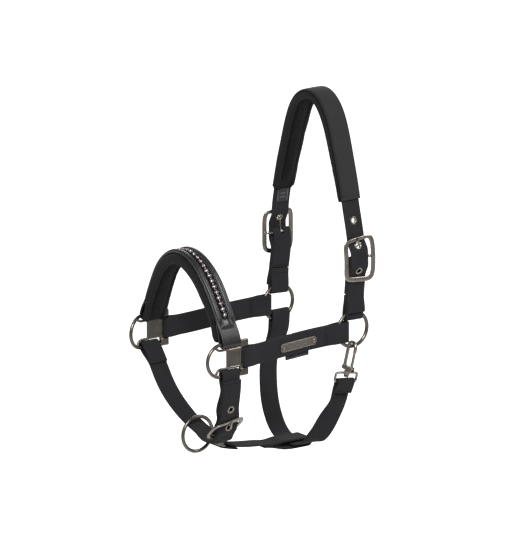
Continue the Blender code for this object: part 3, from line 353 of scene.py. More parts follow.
def round_corners(half_x, half_y, radius):
    """The four corners of a rounded rectangle, four points each, counterclockwise."""
    return [point for x, y, first in ((1, 1, 0), (-1, 1, 90), (-1, -1, 180), (1, -1, 270))
            for point in arc(x * (half_x - radius), y * (half_y - radius), radius,
                             first, first + 90, 3)]


def wobble(x, seed, size=1.0):
    """A smooth repeatable unevenness of about +-1 along x in millimetres."""
    return (math.sin(x / (23.0 * size) + seed * 1.7)
            + 0.6 * math.sin(x / (11.3 * size) + seed * 4.1)
            + 0.35 * math.sin(x / (5.9 * size) + seed * 2.3)) / 1.95


def square_to(vector, axis):
    """The unit part of a Vector square to a unit axis."""
    return (vector - axis * vector.dot(axis)).normalized()


def array_square_to(vector, axis):
    """The same for numpy arrays."""
    rest = vector - axis * (vector @ axis)
    return rest / np.linalg.norm(rest)


# ------------------------------------------------------------ curves that straps follow
def spline(points, per_span=10):
    """A natural cubic spline through points, by chord length, as a dense list."""
    knots = np.array([tuple(point) for point in points], float)
    chords = np.linalg.norm(np.diff(knots, axis=0), axis=1)
    spans = np.diff(np.concatenate([[0], np.cumsum(chords)]))
    count = len(knots)
    system, right = np.eye(count), np.zeros_like(knots)
    for i in range(1, count - 1):
        before, after = spans[i - 1], spans[i]
        system[i, i - 1], system[i, i], system[i, i + 1] = before, 2 * (before + after), after
        right[i] = 6 * ((knots[i + 1] - knots[i]) / after - (knots[i] - knots[i - 1]) / before)
    bends = np.linalg.solve(system, right)
    dense = []
    for i, span in enumerate(spans):
        for k in range(per_span if i < count - 2 else per_span + 1):
            past = span * k / per_span
            left = span - past
            dense.append(
                bends[i] * left**3 / (6 * span)
                + bends[i + 1] * past**3 / (6 * span)
                + (knots[i] / span - bends[i] * span / 6) * left
                + (knots[i + 1] / span - bends[i + 1] * span / 6) * past
            )
    return np.array(dense)


class Run:
    """The line a strap follows; wide is its width direction, or a function that gives it."""

    def __init__(self, points, wide=ACROSS, side=1.0):
        self.points = spline(points)
        chords = np.linalg.norm(np.diff(self.points, axis=0), axis=1)
        self.dists = np.concatenate([[0], np.cumsum(chords)])
        self.wide, self.side, self.length = wide, side, float(self.dists[-1])

    def point(self, dist):
        if dist < 0 or dist > self.length:
            end, inner = (0, 1) if dist < 0 else (-1, -2)
            step = self.points[end] - self.points[inner]
            step = step / np.linalg.norm(step)
            return Vector(self.points[end] + step * (-dist if dist < 0 else dist - self.length))
        return Vector([np.interp(dist, self.dists, self.points[:, k]) for k in range(3)])

    def at(self, dist):
        """The point, direction, width direction and outward normal at a distance."""
        along = (self.point(dist + 1.5) - self.point(dist - 1.5)).normalized()
        centre = self.point(dist)
        hint = self.wide(centre) if callable(self.wide) else self.wide
        wide = square_to(hint, along)
        return centre, along, wide, wide.cross(along) * self.side

    def spot(self, dist, across, height):
        centre, _, wide, out = self.at(dist)
        return centre + wide * across + out * height

    def locate(self, target, dist):
        """Distance along the run and height off it of a point near dist."""
        for _ in range(12):
            centre, along, _, out = self.at(dist)
            dist += (Vector(target) - centre).dot(along)
        return dist, (Vector(target) - centre).dot(out)

    def near(self, target, axis=2):
        """The distance along the run where a coordinate passes target first."""
        for i in range(1, len(self.points)):
            before, after = self.points[i - 1, axis] - target, self.points[i, axis] - target
            if before * after <= 0 and before != after:
                step = self.dists[i] - self.dists[i - 1]
                return float(self.dists[i - 1] + step * before / (before - after))
        raise ValueError("the run doesn't pass there")


# (y, z): up the near side to the poll, in the middle of the crown strap
CROWN_SIDE = [
    (-78.6, 22), (-79.1, 42), (-79.1, 64), (-79.1, 87), (-79.1, 110), (-77.6, 124),
    (-73.6, 143), (-69.3, 160), (-64.9, 177.3), (-60.0, 194), (-54.1, 213.9), (-46.6, 235.5),
    (-40.3, 248.6), (-32.0, 260.0), (-20.8, 269.6), (-8.0, 275.4),
]


def crown_x(y, z):
    """The crown leans a little to the rear above the rings, more on the off side."""
    rise = ease((z - 22) / 56)
    aside = math.copysign(ease((abs(y) - 10) / 45), y)
    # the near buckle hangs to the rear
    sag = 4.2 * math.exp(-(((z - 80) / 34) ** 2)) if y < 0 else 0.0
    return CROWN_X + 0.4 * (1 - rise) + (2.6 + 3.0 * aside) * rise + sag


CROWN = Run([(crown_x(y, z), y, z) for y, z in CROWN_SIDE]
            + [(crown_x(-y, z), -y, z) for y, z in reversed(CROWN_SIDE)])
CROWN_MID = CROWN.near(0.0, 1)
BUCKLE_S = CROWN.near(BUCKLE_Z)

_before, _after = (CROWN.spot(CROWN_MID + k * PAD_STEP / 2, 0, 0) for k in (-1, 1))
ORIGIN = Vector(((_before.x + _after.x) / 2, 0.0, (_before.z + _after.z) / 2 - PAD_IN))


def place(point):
    """From the design frame to the row frame."""
    return (Vector(point) - ORIGIN) * 0.001


# ------------------------------------------------------------ fine builders
MADE = []  # (object, CAD node) of each piece that stands for a node
DETAILS = []  # (object, CAD node) of each piece that only adds detail


def add(name, mesh, material=None):
    """The piece for a CAD node or, without a material, a tool."""
    if material is None:
        ob = bpy.data.objects.new("tool_" + name, mesh)
        CUTTERS.objects.link(ob)
        return ob
    ob = bpy.data.objects.new(name + "_look", mesh)
    mesh.materials.append(material)
    PARTS.objects.link(ob)
    MADE.append((ob, name))
    return ob


def detail(name, node, mesh, material):
    """A detail on a node, such as its stitching."""
    ob = bpy.data.objects.new(name, mesh)
    mesh.materials.append(material)
    PARTS.objects.link(ob)
    DETAILS.append((ob, node))


def apply_modifiers(ob):
    graph = bpy.context.evaluated_depsgraph_get()
    mesh = bpy.data.meshes.new_from_object(ob.evaluated_get(graph))
    ob.modifiers.clear()
    ob.data = mesh


def shade(mesh, angle):
    """Smooth shading with sharp edges past an angle in degrees."""
    mesh.shade_smooth()
    mesh.set_sharp_from_angle(angle=math.radians(angle))


def grid(rows, columns, loop_rows=False, loop_columns=True):
    """Faces between rows of points; a loop joins its last to its first."""
    faces = []
    for i in range(rows if loop_rows else rows - 1):
        low, high = i * columns, (i + 1) % rows * columns
        for k in range(columns if loop_columns else columns - 1):
            after = (k + 1) % columns
            faces.append((low + k, low + after, high + after, high + k))
    return faces


def tube(rows, columns):
    """Faces of a closed tube."""
    return grid(rows, columns) + [tuple(reversed(range(columns))),
                                  tuple(range((rows - 1) * columns, rows * columns))]


def mesh_of(name, points, faces, smooth=True, uvs=None):
    """A mesh from points in the design frame, its faces turned outward."""
    mesh = bpy.data.meshes.new(name)
    mesh.from_pydata([place(point) for point in points], [], faces)
    if uvs is not None:
        layer = mesh.uv_layers.new(name="strap")
        layer.data.foreach_set("uv", np.array(uvs, np.float32).ravel())
    bm = bmesh.new()
    bm.from_mesh(mesh)
    bmesh.ops.recalc_face_normals(bm, faces=bm.faces)
    bm.to_mesh(mesh)
    bm.free()
    if smooth:
        mesh.shade_smooth()
    return mesh


def smooth_line(points, step, closed=False):
    """Catmull-Rom through points (centripetal), sampled about every step."""
    given = [np.array(tuple(point), float) for point in points]
    knots = [given[0]]
    for point in given[1:]:
        if np.linalg.norm(point - knots[-1]) > 1e-4:
            knots.append(point)
    if closed and np.linalg.norm(knots[0] - knots[-1]) < 1e-4:
        knots = knots[:-1]
    count = len(knots)
    line = []
    for i in range(count if closed else count - 1):
        start, end = knots[i], knots[(i + 1) % count]
        if closed:
            before, after = knots[(i - 1) % count], knots[(i + 2) % count]
        else:
            before = knots[i - 1] if i else 2 * start - end
            after = knots[i + 2] if i + 2 < count else 2 * end - start
        gap_0 = max(np.linalg.norm(start - before), 1e-6) ** 0.5
        gap_1 = max(np.linalg.norm(end - start), 1e-6) ** 0.5
        gap_2 = max(np.linalg.norm(after - end), 1e-6) ** 0.5
        leave = (end - start
                 + gap_1 * ((start - before) / gap_0 - (end - before) / (gap_0 + gap_1)))
        arrive = (end - start
                  + gap_1 * ((after - end) / gap_2 - (after - start) / (gap_1 + gap_2)))
        pieces = max(1, int(math.ceil(np.linalg.norm(end - start) / step)))
        for j in range(pieces):
            x = j / pieces
            line.append((2 * x**3 - 3 * x**2 + 1) * start + (x**3 - 2 * x**2 + x) * leave
                        + (-2 * x**3 + 3 * x**2) * end + (x**3 - x**2) * arrive)
    if not closed:
        line.append(knots[-1])
    return np.array(line)


def slab(width, thick, corner, across=12):
    """A rounded flat section as (across, up), counterclockwise seen along the strap."""
    half = thick / 2
    radius = min(corner, half * 0.98)
    corners = round_corners(width / 2, half, radius)
    top = [((width / 2 - radius) * (1 - 2 * k / across), half) for k in range(1, across)]
    bottom = [(-x, -y) for x, y in top]
    return np.array(corners[:4] + top + corners[4:12] + bottom + corners[12:])


def pillow(width, thick, wide_power, thick_power=0.62, count=96):
    """A soft section with full edges."""
    angles = [2 * math.pi * k / count for k in range(count)]
    return np.array([(width / 2 * signed_power(math.cos(angle), wide_power),
                      thick / 2 * signed_power(math.sin(angle), thick_power))
                     for angle in angles])


def strap_frames(run, line):
    """Centres, directions, width directions and normals along a (distance, height) line."""
    centres, wides = [], []
    for dist, height in line:
        centre, _, wide, out = run.at(float(dist))
        centres.append(np.array(centre + out * float(height)))
        wides.append(np.array(wide))
    centres, wides = np.array(centres), np.array(wides)
    alongs = np.gradient(centres, axis=0)
    alongs /= np.linalg.norm(alongs, axis=1)[:, None]
    wides -= (wides * alongs).sum(1)[:, None] * alongs
    wides /= np.linalg.norm(wides, axis=1)[:, None]
    return centres, alongs, wides, np.cross(wides, alongs) * run.side


CAP_RINGS = ((0.7, 0.75), (0.25, 1.0))  # (section's share, reach) of the rings closing an end
CAP = 0.6  # an end's bulge as a share of the half thickness


def ribbon(name, run, path, width, thick, material, section=None, relief=None, step=1.5,
           uneven=0.10):
    """A strap along a path of (distance, height off the run), with UVs in millimetres."""
    line = smooth_line(path, step)
    centres, alongs, wides, outs = strap_frames(run, line)
    base = slab(width, thick, thick * 0.42) if section is None else section
    around, count = len(base), len(centres)
    length = np.concatenate([[0], np.cumsum(np.linalg.norm(np.diff(centres, axis=0), axis=1))])
    edges = np.diff(np.vstack([base, base[:1]]), axis=0)
    girth = np.concatenate([[0], np.cumsum(np.linalg.norm(edges, axis=1))])
    seed = sum(ord(letter) for letter in name) % 17

    sections, rings = [], []
    for i in range(count):
        shape = base.copy() if relief is None else relief(float(line[i][0]), base.copy())
        right = uneven * wobble(length[i], seed)
        left = uneven * 1.3 * wobble(length[i] + 40, seed + 3, 1.4)
        shift = np.where(shape[:, 0] > 0, right, left)
        x = shape[:, 0] + shift * np.clip(np.abs(shape[:, 0]) / (width / 2), 0, 1) ** 3
        rings.append(centres[i] + wides[i] * x[:, None] + outs[i] * shape[:, 1][:, None])
        sections.append(shape)
    faces = grid(count, around)
    uvs = [(girth[j + dj], length[i + di]) for i in range(count - 1) for j in range(around)
           for dj, di in ((0, 0), (1, 0), (1, 1), (0, 1))]

    for end, way in ((0, -1), (count - 1, 1)):
        before = end * around
        shape = sections[end]
        for shrink, reach in CAP_RINGS:
            inset = thick / 2 * (1 - shrink)
            x = np.maximum(np.abs(shape[:, 0]) - inset, 0.0) * np.sign(shape[:, 0])
            now = len(rings) * around
            rings.append(centres[end] + alongs[end] * (way * reach * thick / 2 * CAP)
                         + wides[end] * x[:, None] + outs[end] * (shape[:, 1] * shrink)[:, None])
            for j in range(around):
                after = (j + 1) % around
                if way == -1:
                    faces.append((before + j, now + j, now + after, before + after))
                else:
                    faces.append((before + j, before + after, now + after, now + j))
                uvs += [(girth[k], length[end]) for k in (j, j, after, after)]
            before = now
        order = range(around)[::way]
        faces.append(tuple(before + j for j in order))
        uvs += [(girth[j], length[end]) for j in order]
    return add(name, mesh_of(name, np.vstack(rings), faces, uvs=uvs), material)


def sweep(points, radius, closed=False, sides=20):
    """Points and faces of a round bar along points; open ends are domed."""
    line = np.array(points, float)
    count = len(line)
    if closed:
        alongs = np.roll(line, -1, 0) - np.roll(line, 1, 0)
    else:
        alongs = np.gradient(line, axis=0)
    alongs /= np.linalg.norm(alongs, axis=1)[:, None]
    normals = [array_square_to(np.array((0.31, 0.77, 0.56)), alongs[0])]
    for i in range(1, count):
        normals.append(array_square_to(normals[-1], alongs[i]))
    normals = np.array(normals)
    if closed:  # spread the twist that parallel transport leaves
        last = array_square_to(normals[-1], alongs[0])
        twist = math.atan2(np.cross(last, normals[0]) @ alongs[0], last @ normals[0])
        for i in range(count):
            angle = twist * i / count
            side = np.cross(alongs[i], normals[i])
            normals[i] = normals[i] * math.cos(angle) + side * math.sin(angle)
    rings = [(line[i], i, radius) for i in range(count)]
    if not closed:
        domes = [math.radians(angle) for angle in (80, 55, 28)]
        start = [(line[0] - alongs[0] * radius * math.sin(angle), 0, radius * math.cos(angle))
                 for angle in domes]
        end = [(line[-1] + alongs[-1] * radius * math.sin(angle), count - 1,
                radius * math.cos(angle)) for angle in reversed(domes)]
        rings = start + rings + end
    verts = []
    for centre, i, size in rings:
        side = np.cross(alongs[i], normals[i])
        for k in range(sides):
            angle = 2 * math.pi * k / sides
            verts.append(centre + normals[i] * (size * math.cos(angle))
                         + side * (size * math.sin(angle)))
    return verts, grid(count, sides, True) if closed else tube(len(rings), sides)


class Shape:
    """Points and faces gathered for one mesh."""

    def __init__(self):
        self.points, self.faces = [], []

    def add(self, points, faces):
        start = len(self.points)
        self.points.extend(points)
        self.faces.extend(tuple(start + i for i in face) for face in faces)

    def strand(self, points, radius, step, sides=8):
        """A round strand along a smoothed line."""
        self.add(*sweep(smooth_line(points, step), radius, False, sides))

    def detail(self, name, node, material, smooth=True):
        detail(name, node, mesh_of(name, self.points, self.faces, smooth), material)


def wire(name, points, radius, material=None, closed=False, step=0.7, sides=20):
    """A round bar along points."""
    line = smooth_line(points, step, closed)
    return add(name, mesh_of(name, *sweep(line, radius, closed, sides)), material)


def stand(ob, centre, x, z):
    """Stands an object at a point with its axes along x and z."""
    z = Vector(z).normalized()
    x = square_to(Vector(x), z)
    matrix = Matrix((x, z.cross(x), z)).transposed().to_4x4()
    matrix.translation = place(centre)
    ob.matrix_world = matrix


def stand_on_axis(ob, centre, axis):
    stand(ob, centre, ACROSS if abs(Vector(axis).normalized().x) < 0.9 else UP, axis)


def block(name, centre, size, material=None, x=ACROSS, z=UP, bevel=0.0):
    bm = bmesh.new()
    bmesh.ops.create_cube(bm, size=1.0)
    bmesh.ops.scale(bm, vec=Vector(size) * 0.001, verts=bm.verts)
    mesh = bpy.data.meshes.new(name)
    bm.to_mesh(mesh)
    bm.free()
    ob = add(name, mesh, material)
    stand(ob, centre, x, z)
    if bevel:
        modifier = ob.modifiers.new("edges", "BEVEL")
        modifier.width, modifier.segments = bevel * 0.001, 4
        apply_modifiers(ob)
        shade(ob.data, 40)
    return ob


def rod(name, centre, axis, radius, length, material=None):
    bm = bmesh.new()
    bmesh.ops.create_cone(bm, cap_ends=True, segments=40, radius1=radius * 0.001,
                          radius2=radius * 0.001, depth=length * 0.001)
    mesh = bpy.data.meshes.new(name)
    bm.to_mesh(mesh)
    bm.free()
    ob = add(name, mesh, material)
    stand_on_axis(ob, centre, axis)
    return ob


def turned(name, centre, axis, profile, material, closed=True, count=64):
    """A profile of (radius, height) turned about axis; a closed one, or one ending on the axis."""
    verts = []
    for k in range(count):
        angle = 2 * math.pi * k / count
        for radius, z in profile:
            verts.append((radius * math.cos(angle) * 0.001, radius * math.sin(angle) * 0.001,
                          z * 0.001))
    mesh = bpy.data.meshes.new(name)
    mesh.from_pydata(verts, [], grid(count, len(profile), True, closed))
    bm = bmesh.new()
    bm.from_mesh(mesh)
    bmesh.ops.remove_doubles(bm, verts=bm.verts, dist=1e-6)
    bmesh.ops.dissolve_degenerate(bm, dist=1e-7, edges=bm.edges)
    bmesh.ops.recalc_face_normals(bm, faces=bm.faces)
    bm.to_mesh(mesh)
    bm.free()
    stand_on_axis(add(name, mesh, material), centre, axis)
    shade(mesh, 40)


def ring(name, centre, count=200):
    """A wire ring square to the Y axis."""
    angles = [2 * math.pi * k / count for k in range(count)]
    points = [tuple(centre + ACROSS * (RING_R * math.cos(angle))
                    + -UP * (RING_R * math.sin(angle))) for angle in angles]
    add(name, mesh_of(name, *sweep(points, RING_WIRE, True, 28)), GUNMETAL)


def cast(ob, others, voxel):
    """Merges tools into a piece as one skin with softened corners; voxel is its fineness."""
    bm = bmesh.new()
    for part in (ob, *others):
        mesh = part.data.copy()
        mesh.transform(part.matrix_world)
        bm.from_mesh(mesh)
        bpy.data.meshes.remove(mesh)
    mesh = bpy.data.meshes.new(ob.name)
    bm.to_mesh(mesh)
    bm.free()
    for material in ob.data.materials:
        mesh.materials.append(material)
    ob.data = mesh
    ob.matrix_world = Matrix.Identity(4)
    for part in others:
        bpy.data.objects.remove(part, do_unlink=True)
    skin = ob.modifiers.new("skin", "REMESH")
    skin.mode, skin.voxel_size, skin.use_smooth_shade = "VOXEL", voxel * 0.001, True
    soften = ob.modifiers.new("soften", "SMOOTH")
    soften.factor, soften.iterations = 0.5, 3
    apply_modifiers(ob)
    ob.data.shade_smooth()


def one_material(ob, material, angle=42):
    """Gives every face one material and shades the piece."""
    ob.data.materials.clear()
    ob.data.materials.append(material)
    for face in ob.data.polygons:
        face.material_index = 0
    shade(ob.data, angle)


def cut(ob, cutters, material, angle=42):
    for cutter in cutters:
        modifier = ob.modifiers.new("difference", "BOOLEAN")
        modifier.operation, modifier.solver, modifier.object = "DIFFERENCE", "EXACT", cutter
        apply_modifiers(ob)
    one_material(ob, material, angle)


# ------------------------------------------------------------ stitches
def capsule(length, radius, sides=7):
    """A thread's visible length: along x, a little bowed, lying on z = 0."""
    # (place along the length, share of the radius)
    rings = ((-0.5, 0.15), (-0.46, 0.62), (-0.3, 1.0), (0.0, 1.06), (0.3, 1.0), (0.46, 0.62),
             (0.5, 0.15))
    verts = []
    for x, share in rings:
        bow = 0.42 * radius * (1 - (2 * x) ** 2)
        for k in range(sides):
            angle = 2 * math.pi * k / sides
            verts.append((x * length, share * radius * math.cos(angle),
                          share * radius * math.sin(angle) * 0.9 + bow))
    return np.array(verts), tube(len(rings), sides)


class Stitching(Shape):
    """Collects the stitches of one node."""

    def __init__(self, node, material=THREAD, radius=0.36):
        super().__init__()
        self.node, self.material, self.radius = node, material, radius

    def stitch(self, start, end, out):
        start, end, out = (np.array(value, float) for value in (start, end, out))
        along = end - start
        size = np.linalg.norm(along)
        along /= size
        out = array_square_to(out, along)
        side = np.cross(out, along)
        verts, faces = capsule(size, self.radius)
        self.add(((start + end) / 2) + verts[:, 0:1] * along + verts[:, 1:2] * side
                 + verts[:, 2:3] * out, faces)

    def row(self, point, start, end, pitch=2.8, gap=0.85):
        """Stitches along point(x) -> (position, normal), for x from start to end."""
        count = max(1, round(abs(end - start) / pitch))
        step = (end - start) / count
        for i in range(count):
            first, out = point(start + step * i + step * gap / pitch / 2)
            last, _ = point(start + step * (i + 1) - step * gap / pitch / 2)
            self.stitch(first, last, out)

    def done(self):
        self.detail(self.node + "_stitching", self.node, self.material)


def along_run(run, across, height, side=1):
    """A row along a run, whose height may depend on the distance; side -1 faces inward."""

    def point(dist):
        centre, _, wide, out = run.at(dist)
        lift = height(dist) if callable(height) else height
        return centre + wide * across + out * lift, out * side

    return point


def across_run(run, dist, height, side=1):
    """A row across a strap; side -1 faces inward."""

    def point(across):
        centre, _, wide, out = run.at(dist)
        return centre + wide * across + out * height, out * side

    return point


def cross_stitching(node, run, rows, half=10.2):
    """Rows across a strap, each (distance, height, side)."""
    thread = Stitching(node)
    for dist, height, side in rows:
        thread.row(across_run(run, dist, height, side), -half, half)
    thread.done()


# ------------------------------------------------------------ soft pads
def nearest_station(run):
    """A function from a placed point to the run's frame nearest it, to a millimetre."""
    stations = [run.at(float(dist)) for dist in np.arange(0, run.length, 1.0)]
    tree = KDTree(len(stations))
    for i, station in enumerate(stations):
        tree.insert(place(station[0]), i)
    tree.balance()
    return lambda point: stations[tree.find(point)[1]]


PUFF_LIMIT = 0.0022  # metres; the most that inflating moves a pad's surface


def inflate(ob):
    """Start points of a coarse copy of a pad and how far cloth under pressure moves them."""
    soft = bpy.data.objects.new(ob.name + "_soft", ob.data.copy())
    bpy.context.scene.collection.objects.link(soft)
    remesh = soft.modifiers.new("remesh", "REMESH")
    remesh.mode, remesh.voxel_size, remesh.use_smooth_shade = "VOXEL", 0.0042, True
    apply_modifiers(soft)
    start = np.array([vert.co[:] for vert in soft.data.vertices])
    cloth_modifier = soft.modifiers.new("cloth", "CLOTH")
    settings = cloth_modifier.settings
    settings.quality, settings.mass = 6, 0.3
    settings.tension_stiffness = settings.compression_stiffness = 12
    settings.shear_stiffness, settings.bending_stiffness = 6, 0.6
    settings.use_pressure, settings.uniform_pressure_force = True, 5
    settings.effector_weights.gravity = 0
    cache = cloth_modifier.point_cache
    cache.frame_start, cache.frame_end = 1, 20
    for i in range(1, 21):
        bpy.context.scene.frame_set(i)
    graph = bpy.context.evaluated_depsgraph_get()
    result = soft.evaluated_get(graph).to_mesh()
    move = np.array([vert.co[:] for vert in result.vertices]) - start
    soft.evaluated_get(graph).to_mesh_clear()
    bpy.context.scene.frame_set(1)
    bpy.data.objects.remove(soft, do_unlink=True)
    move -= move.mean(axis=0)
    size = np.linalg.norm(move, axis=1)
    move *= np.minimum(1.0, PUFF_LIMIT / np.maximum(size, 1e-9))[:, None]
    return start, move


def puff(ob, run, top, seam):
    """Inflates a pad, held at its seams and on the strap."""
    start, move = inflate(ob)
    tree = KDTree(len(start))
    for i, point in enumerate(start):
        tree.insert(point, i)
    tree.balance()
    station = nearest_station(run)
    for vert in ob.data.vertices:
        centre, _, wide, out = station(vert.co)
        away = vert.co - place(centre)
        depth, across = -away.dot(out) * 1000, abs(away.dot(wide) * 1000)
        free = min(max((depth - top - 0.8) / 2.2, 0.0), 1.0)
        free *= 1 - math.exp(-(((across - seam) / 1.5) ** 2))
        if free <= 0.0:
            continue
        total, shift = 0.0, Vector((0, 0, 0))
        for _, i, dist in tree.find_n(vert.co, 5):
            weight = 1.0 / (dist + 1e-4)
            total += weight
            shift += Vector(move[i]) * weight
        vert.co += shift / total * free


def rolled(ob, run, seam):
    """Gives the rolls outside a pad's seams a lighter copy of the padding cloth: painted light on
    the raised rolls beside the darker sunk middle.
    """
    ob.data.materials.append(PAD_ROLL_LIT)
    station = nearest_station(run)
    for face in ob.data.polygons:
        centre, _, wide, _ = station(face.center)
        across = abs((face.center - place(centre)).dot(wide) * 1000)
        face.material_index = 1 if across > seam else 0


# ------------------------------------------------------------ crown: strap, sleeve and pad
RISE_FROM, RISE_TO = 9.5, 21.6
# the eyelet above each crown buckle's bar, and its neighbours a pitch up and a pitch down
CROWN_EYES = [BUCKLE_S + 16.7 + EYE_PITCH, BUCKLE_S + 16.7, BUCKLE_S + 16.7 - EYE_PITCH]
# the sleeve and pad reach further down the off side
COVER_END = CROWN.near(158.5)
COVER_FAR = CROWN.length - CROWN.near(144.5)
COVER_S = (steps(COVER_END, CROWN_MID - PAD_STEP / 2, PAD_STEP)
           + steps(CROWN_MID + PAD_STEP / 2, COVER_FAR, PAD_STEP))


def crest(dist, rise_from=RISE_FROM, rise_to=RISE_TO):
    """A billet's height near a buckle: CREST over the wrapped bar, 0 behind a frame bar."""
    dist = abs(dist)
    if dist <= rise_from:
        return CREST
    if dist >= rise_to:
        return 0.0
    return CREST / 2 * (1 + math.cos(math.pi * (dist - rise_from) / (rise_to - rise_from)))


def crown_height(dist):
    """The crown strap's height off its run; each tip lifts over the strap loop on the ring."""
    dist = dist if dist < CROWN_MID else CROWN.length - dist
    tip = 3.4 * (1 - ease((dist - 2) / 18))
    return tip + crest(dist - BUCKLE_S)


def flat_at(samples, centres):
    """Replaces the samples near each centre by one on each side, so the strap is flat there."""
    kept = [dist for dist in samples
            if all(abs(dist - centre) > EYE_FLAT + 1.2 for centre in centres)]
    return sorted(kept + [centre + k * EYE_FLAT for centre in centres for k in (-1, 1)])


def from_cover_end(dist):
    return min(dist - COVER_S[0], COVER_S[-1] - dist)


def cover_relief(dist, section):
    """The sleeve is gently domed, rolled at its edges and sewn flat at both ends."""
    shape = section.copy()
    x = np.abs(section[:, 0])
    top = section[:, 1] > 0
    dome = 0.55 * np.clip(1 - (x / 13.5) ** 4, 0, 1) + 0.08 * wobble(dist, 5, 0.8)
    shape[:, 1] += np.where(top, dome, 0)
    sewn = 0.45 * math.exp(-(((from_cover_end(dist) - 4.0) / 0.7) ** 2))
    shape[:, 1] -= np.where(top, sewn, 0)
    return shape


def crown_pad_relief(dist, section):
    """Two soft rolls with a sunken middle on the horse's side, seamed along each roll."""
    shape = section.copy()
    x = np.abs(section[:, 0])
    low = section[:, 1] < 0
    sink = (1.2 * np.clip((9.9 - x) / 1.8, 0, 1) - 0.6 * np.clip(1 - (x / 8.0) ** 2, 0, 1)
            + 1.4 * np.exp(-(((x - CROWN_SEAM) / 0.75) ** 2)))
    swell = 0.35 * wobble(dist, 9, 0.7)
    shape[:, 1] += np.where(low, sink + swell * np.clip(1 - x / 15, 0, 1), 0)
    end = from_cover_end(dist)
    shape[:, 1] *= 1 - 0.45 * (1 - ease(end / 5.0))
    rim = np.clip((x - 13.2) / 1.2, 0, 1)  # its edges come up beside the sleeve
    shape[:, 1] += np.where(~low, 2.3 * rim * rim * (3 - 2 * rim) * ease(end / 4.0), 0)
    return shape


def crown_band():
    """The strap, its sleeve and its pad."""
    low = (steps(0, 18, 3.6) + steps(25, BUCKLE_S - 26, 8)
           + steps(BUCKLE_S - 22, BUCKLE_S + 24, 3.4) + steps(BUCKLE_S + 30, COVER_S[0] - 7, 7))
    low = flat_at(low, CROWN_EYES)
    far = [CROWN.length - dist for dist in reversed(low)
           if dist < CROWN.length - COVER_FAR - 4]
    strap = ribbon("crown_strap", CROWN,
                   [(dist, crown_height(dist)) for dist in low + COVER_S + far],
                   STRAP_W, STRAP_T, WEBBING)
    ribbon("crown_cover", CROWN, [(dist, COVER_IN + COVER_T / 2) for dist in COVER_S],
           COVER_W, COVER_T, SLEEVE,
           section=pillow(COVER_W - 2.6, COVER_T + 0.1, 0.30, 0.6, count=56),
           relief=cover_relief, uneven=0.18)
    pad = ribbon("crown_pad", CROWN, [(dist, -(COVER_IN + PAD_T / 2)) for dist in COVER_S],
                 COVER_W, PAD_T, PADDING, section=pillow(COVER_W + 1.2, PAD_T, 0.36),
                 relief=crown_pad_relief, uneven=0.25)
    puff(pad, CROWN, COVER_IN, CROWN_SEAM)
    # painted light: the crown pad's rolls get a lighter copy of the padding
    rolled(pad, CROWN, CROWN_SEAM)
    return strap


def eyelet(name, run, dist, height):
    """An eyelet with a rolled flange on each face of a strap; returns a tool for its hole."""
    before, after = (run.spot(dist + k * EYE_FLAT, 0, height(dist + k * EYE_FLAT))
                     for k in (-1, 1))
    centre, along = (before + after) / 2, (after - before).normalized()
    out = run.at(dist)[2].cross(along) * run.side
    top = STRAP_FACE + 0.12
    rim = EYE_R + 0.25
    inner = [math.radians(angle) for angle in range(0, 91, 15)]
    outer = [math.radians(angle) for angle in range(15, 106, 15)]
    flange = [(EYE_BORE + (1.05 - 1.05 * math.cos(angle)), top - 0.35 + math.sin(angle))
              for angle in inner]
    flange += [(rim - 0.55 + 0.55 * math.sin(angle), top + 0.15 + 0.475 * math.cos(angle))
               for angle in outer]
    flange += [(rim - 0.35, top - 0.1), (EYE_BORE + 0.55, top - 0.12)]
    turned(name, centre, out, flange + [(x, -z) for x, z in reversed(flange)], BRIGHT)
    return rod("hole", centre, out, EYE_BORE + 0.5, 8.0)


crown_strap = crown_band()
holes = []
for k, dist in enumerate(CROWN_EYES):
    holes.append(eyelet(f"near_crown_eyelet_{k + 1}", CROWN, dist, crown_height))
    if k:  # the size label is sewn where the off side's topmost would be
        holes.append(eyelet(f"off_crown_eyelet_{k}", CROWN, CROWN.length - dist, crown_height))
cut(crown_strap, holes, WEBBING, 50)


# ------------------------------------------------------------ crown buckles
def buckle_frame(name, line, half_h, half_w, low, high, middle, both):
    """A cast frame. line(along, across, off) gives a point by distance along the strap.

    Its sides dip from high at an end bar to low: at the middle if both ends have an end bar,
    otherwise at the wrapped bar that is its lower end.
    """
    around, sides = 220, 28
    corner_power = 0.34  # makes the outline a rounded rectangle
    verts = []
    for i in range(around):
        angle = 2 * math.pi * i / around
        cos, sin = math.cos(angle) or 1e-9, math.sin(angle) or 1e-9
        across = half_w * signed_power(cos, corner_power)
        along = half_h * signed_power(sin, corner_power)
        normal_w, normal_s = cos * abs(cos) ** 0.6, sin * abs(sin) ** 0.6
        size = math.hypot(normal_w, normal_s)
        if both:
            height = low + (high - low) * (along / half_h) ** 2
        else:
            height = low + (high - low) * max(0.0, (along + half_h) / (2 * half_h)) ** 1.3
        wide = (3.1 if both else 2.7) if sin < 0.8 else 2.3
        if not both and sin < -0.9:
            wide = BAR_R
        for k in range(sides):
            turn = 2 * math.pi * k / sides
            out, lift = signed_power(math.cos(turn), 0.75), signed_power(math.sin(turn), 0.75)
            verts.append(line(middle + along + normal_s / size * wide * out,
                              across + normal_w / size * wide * out, height + FRAME_T * lift))
    return add(name, mesh_of(name, verts, grid(around, sides, True)), BRIGHT)


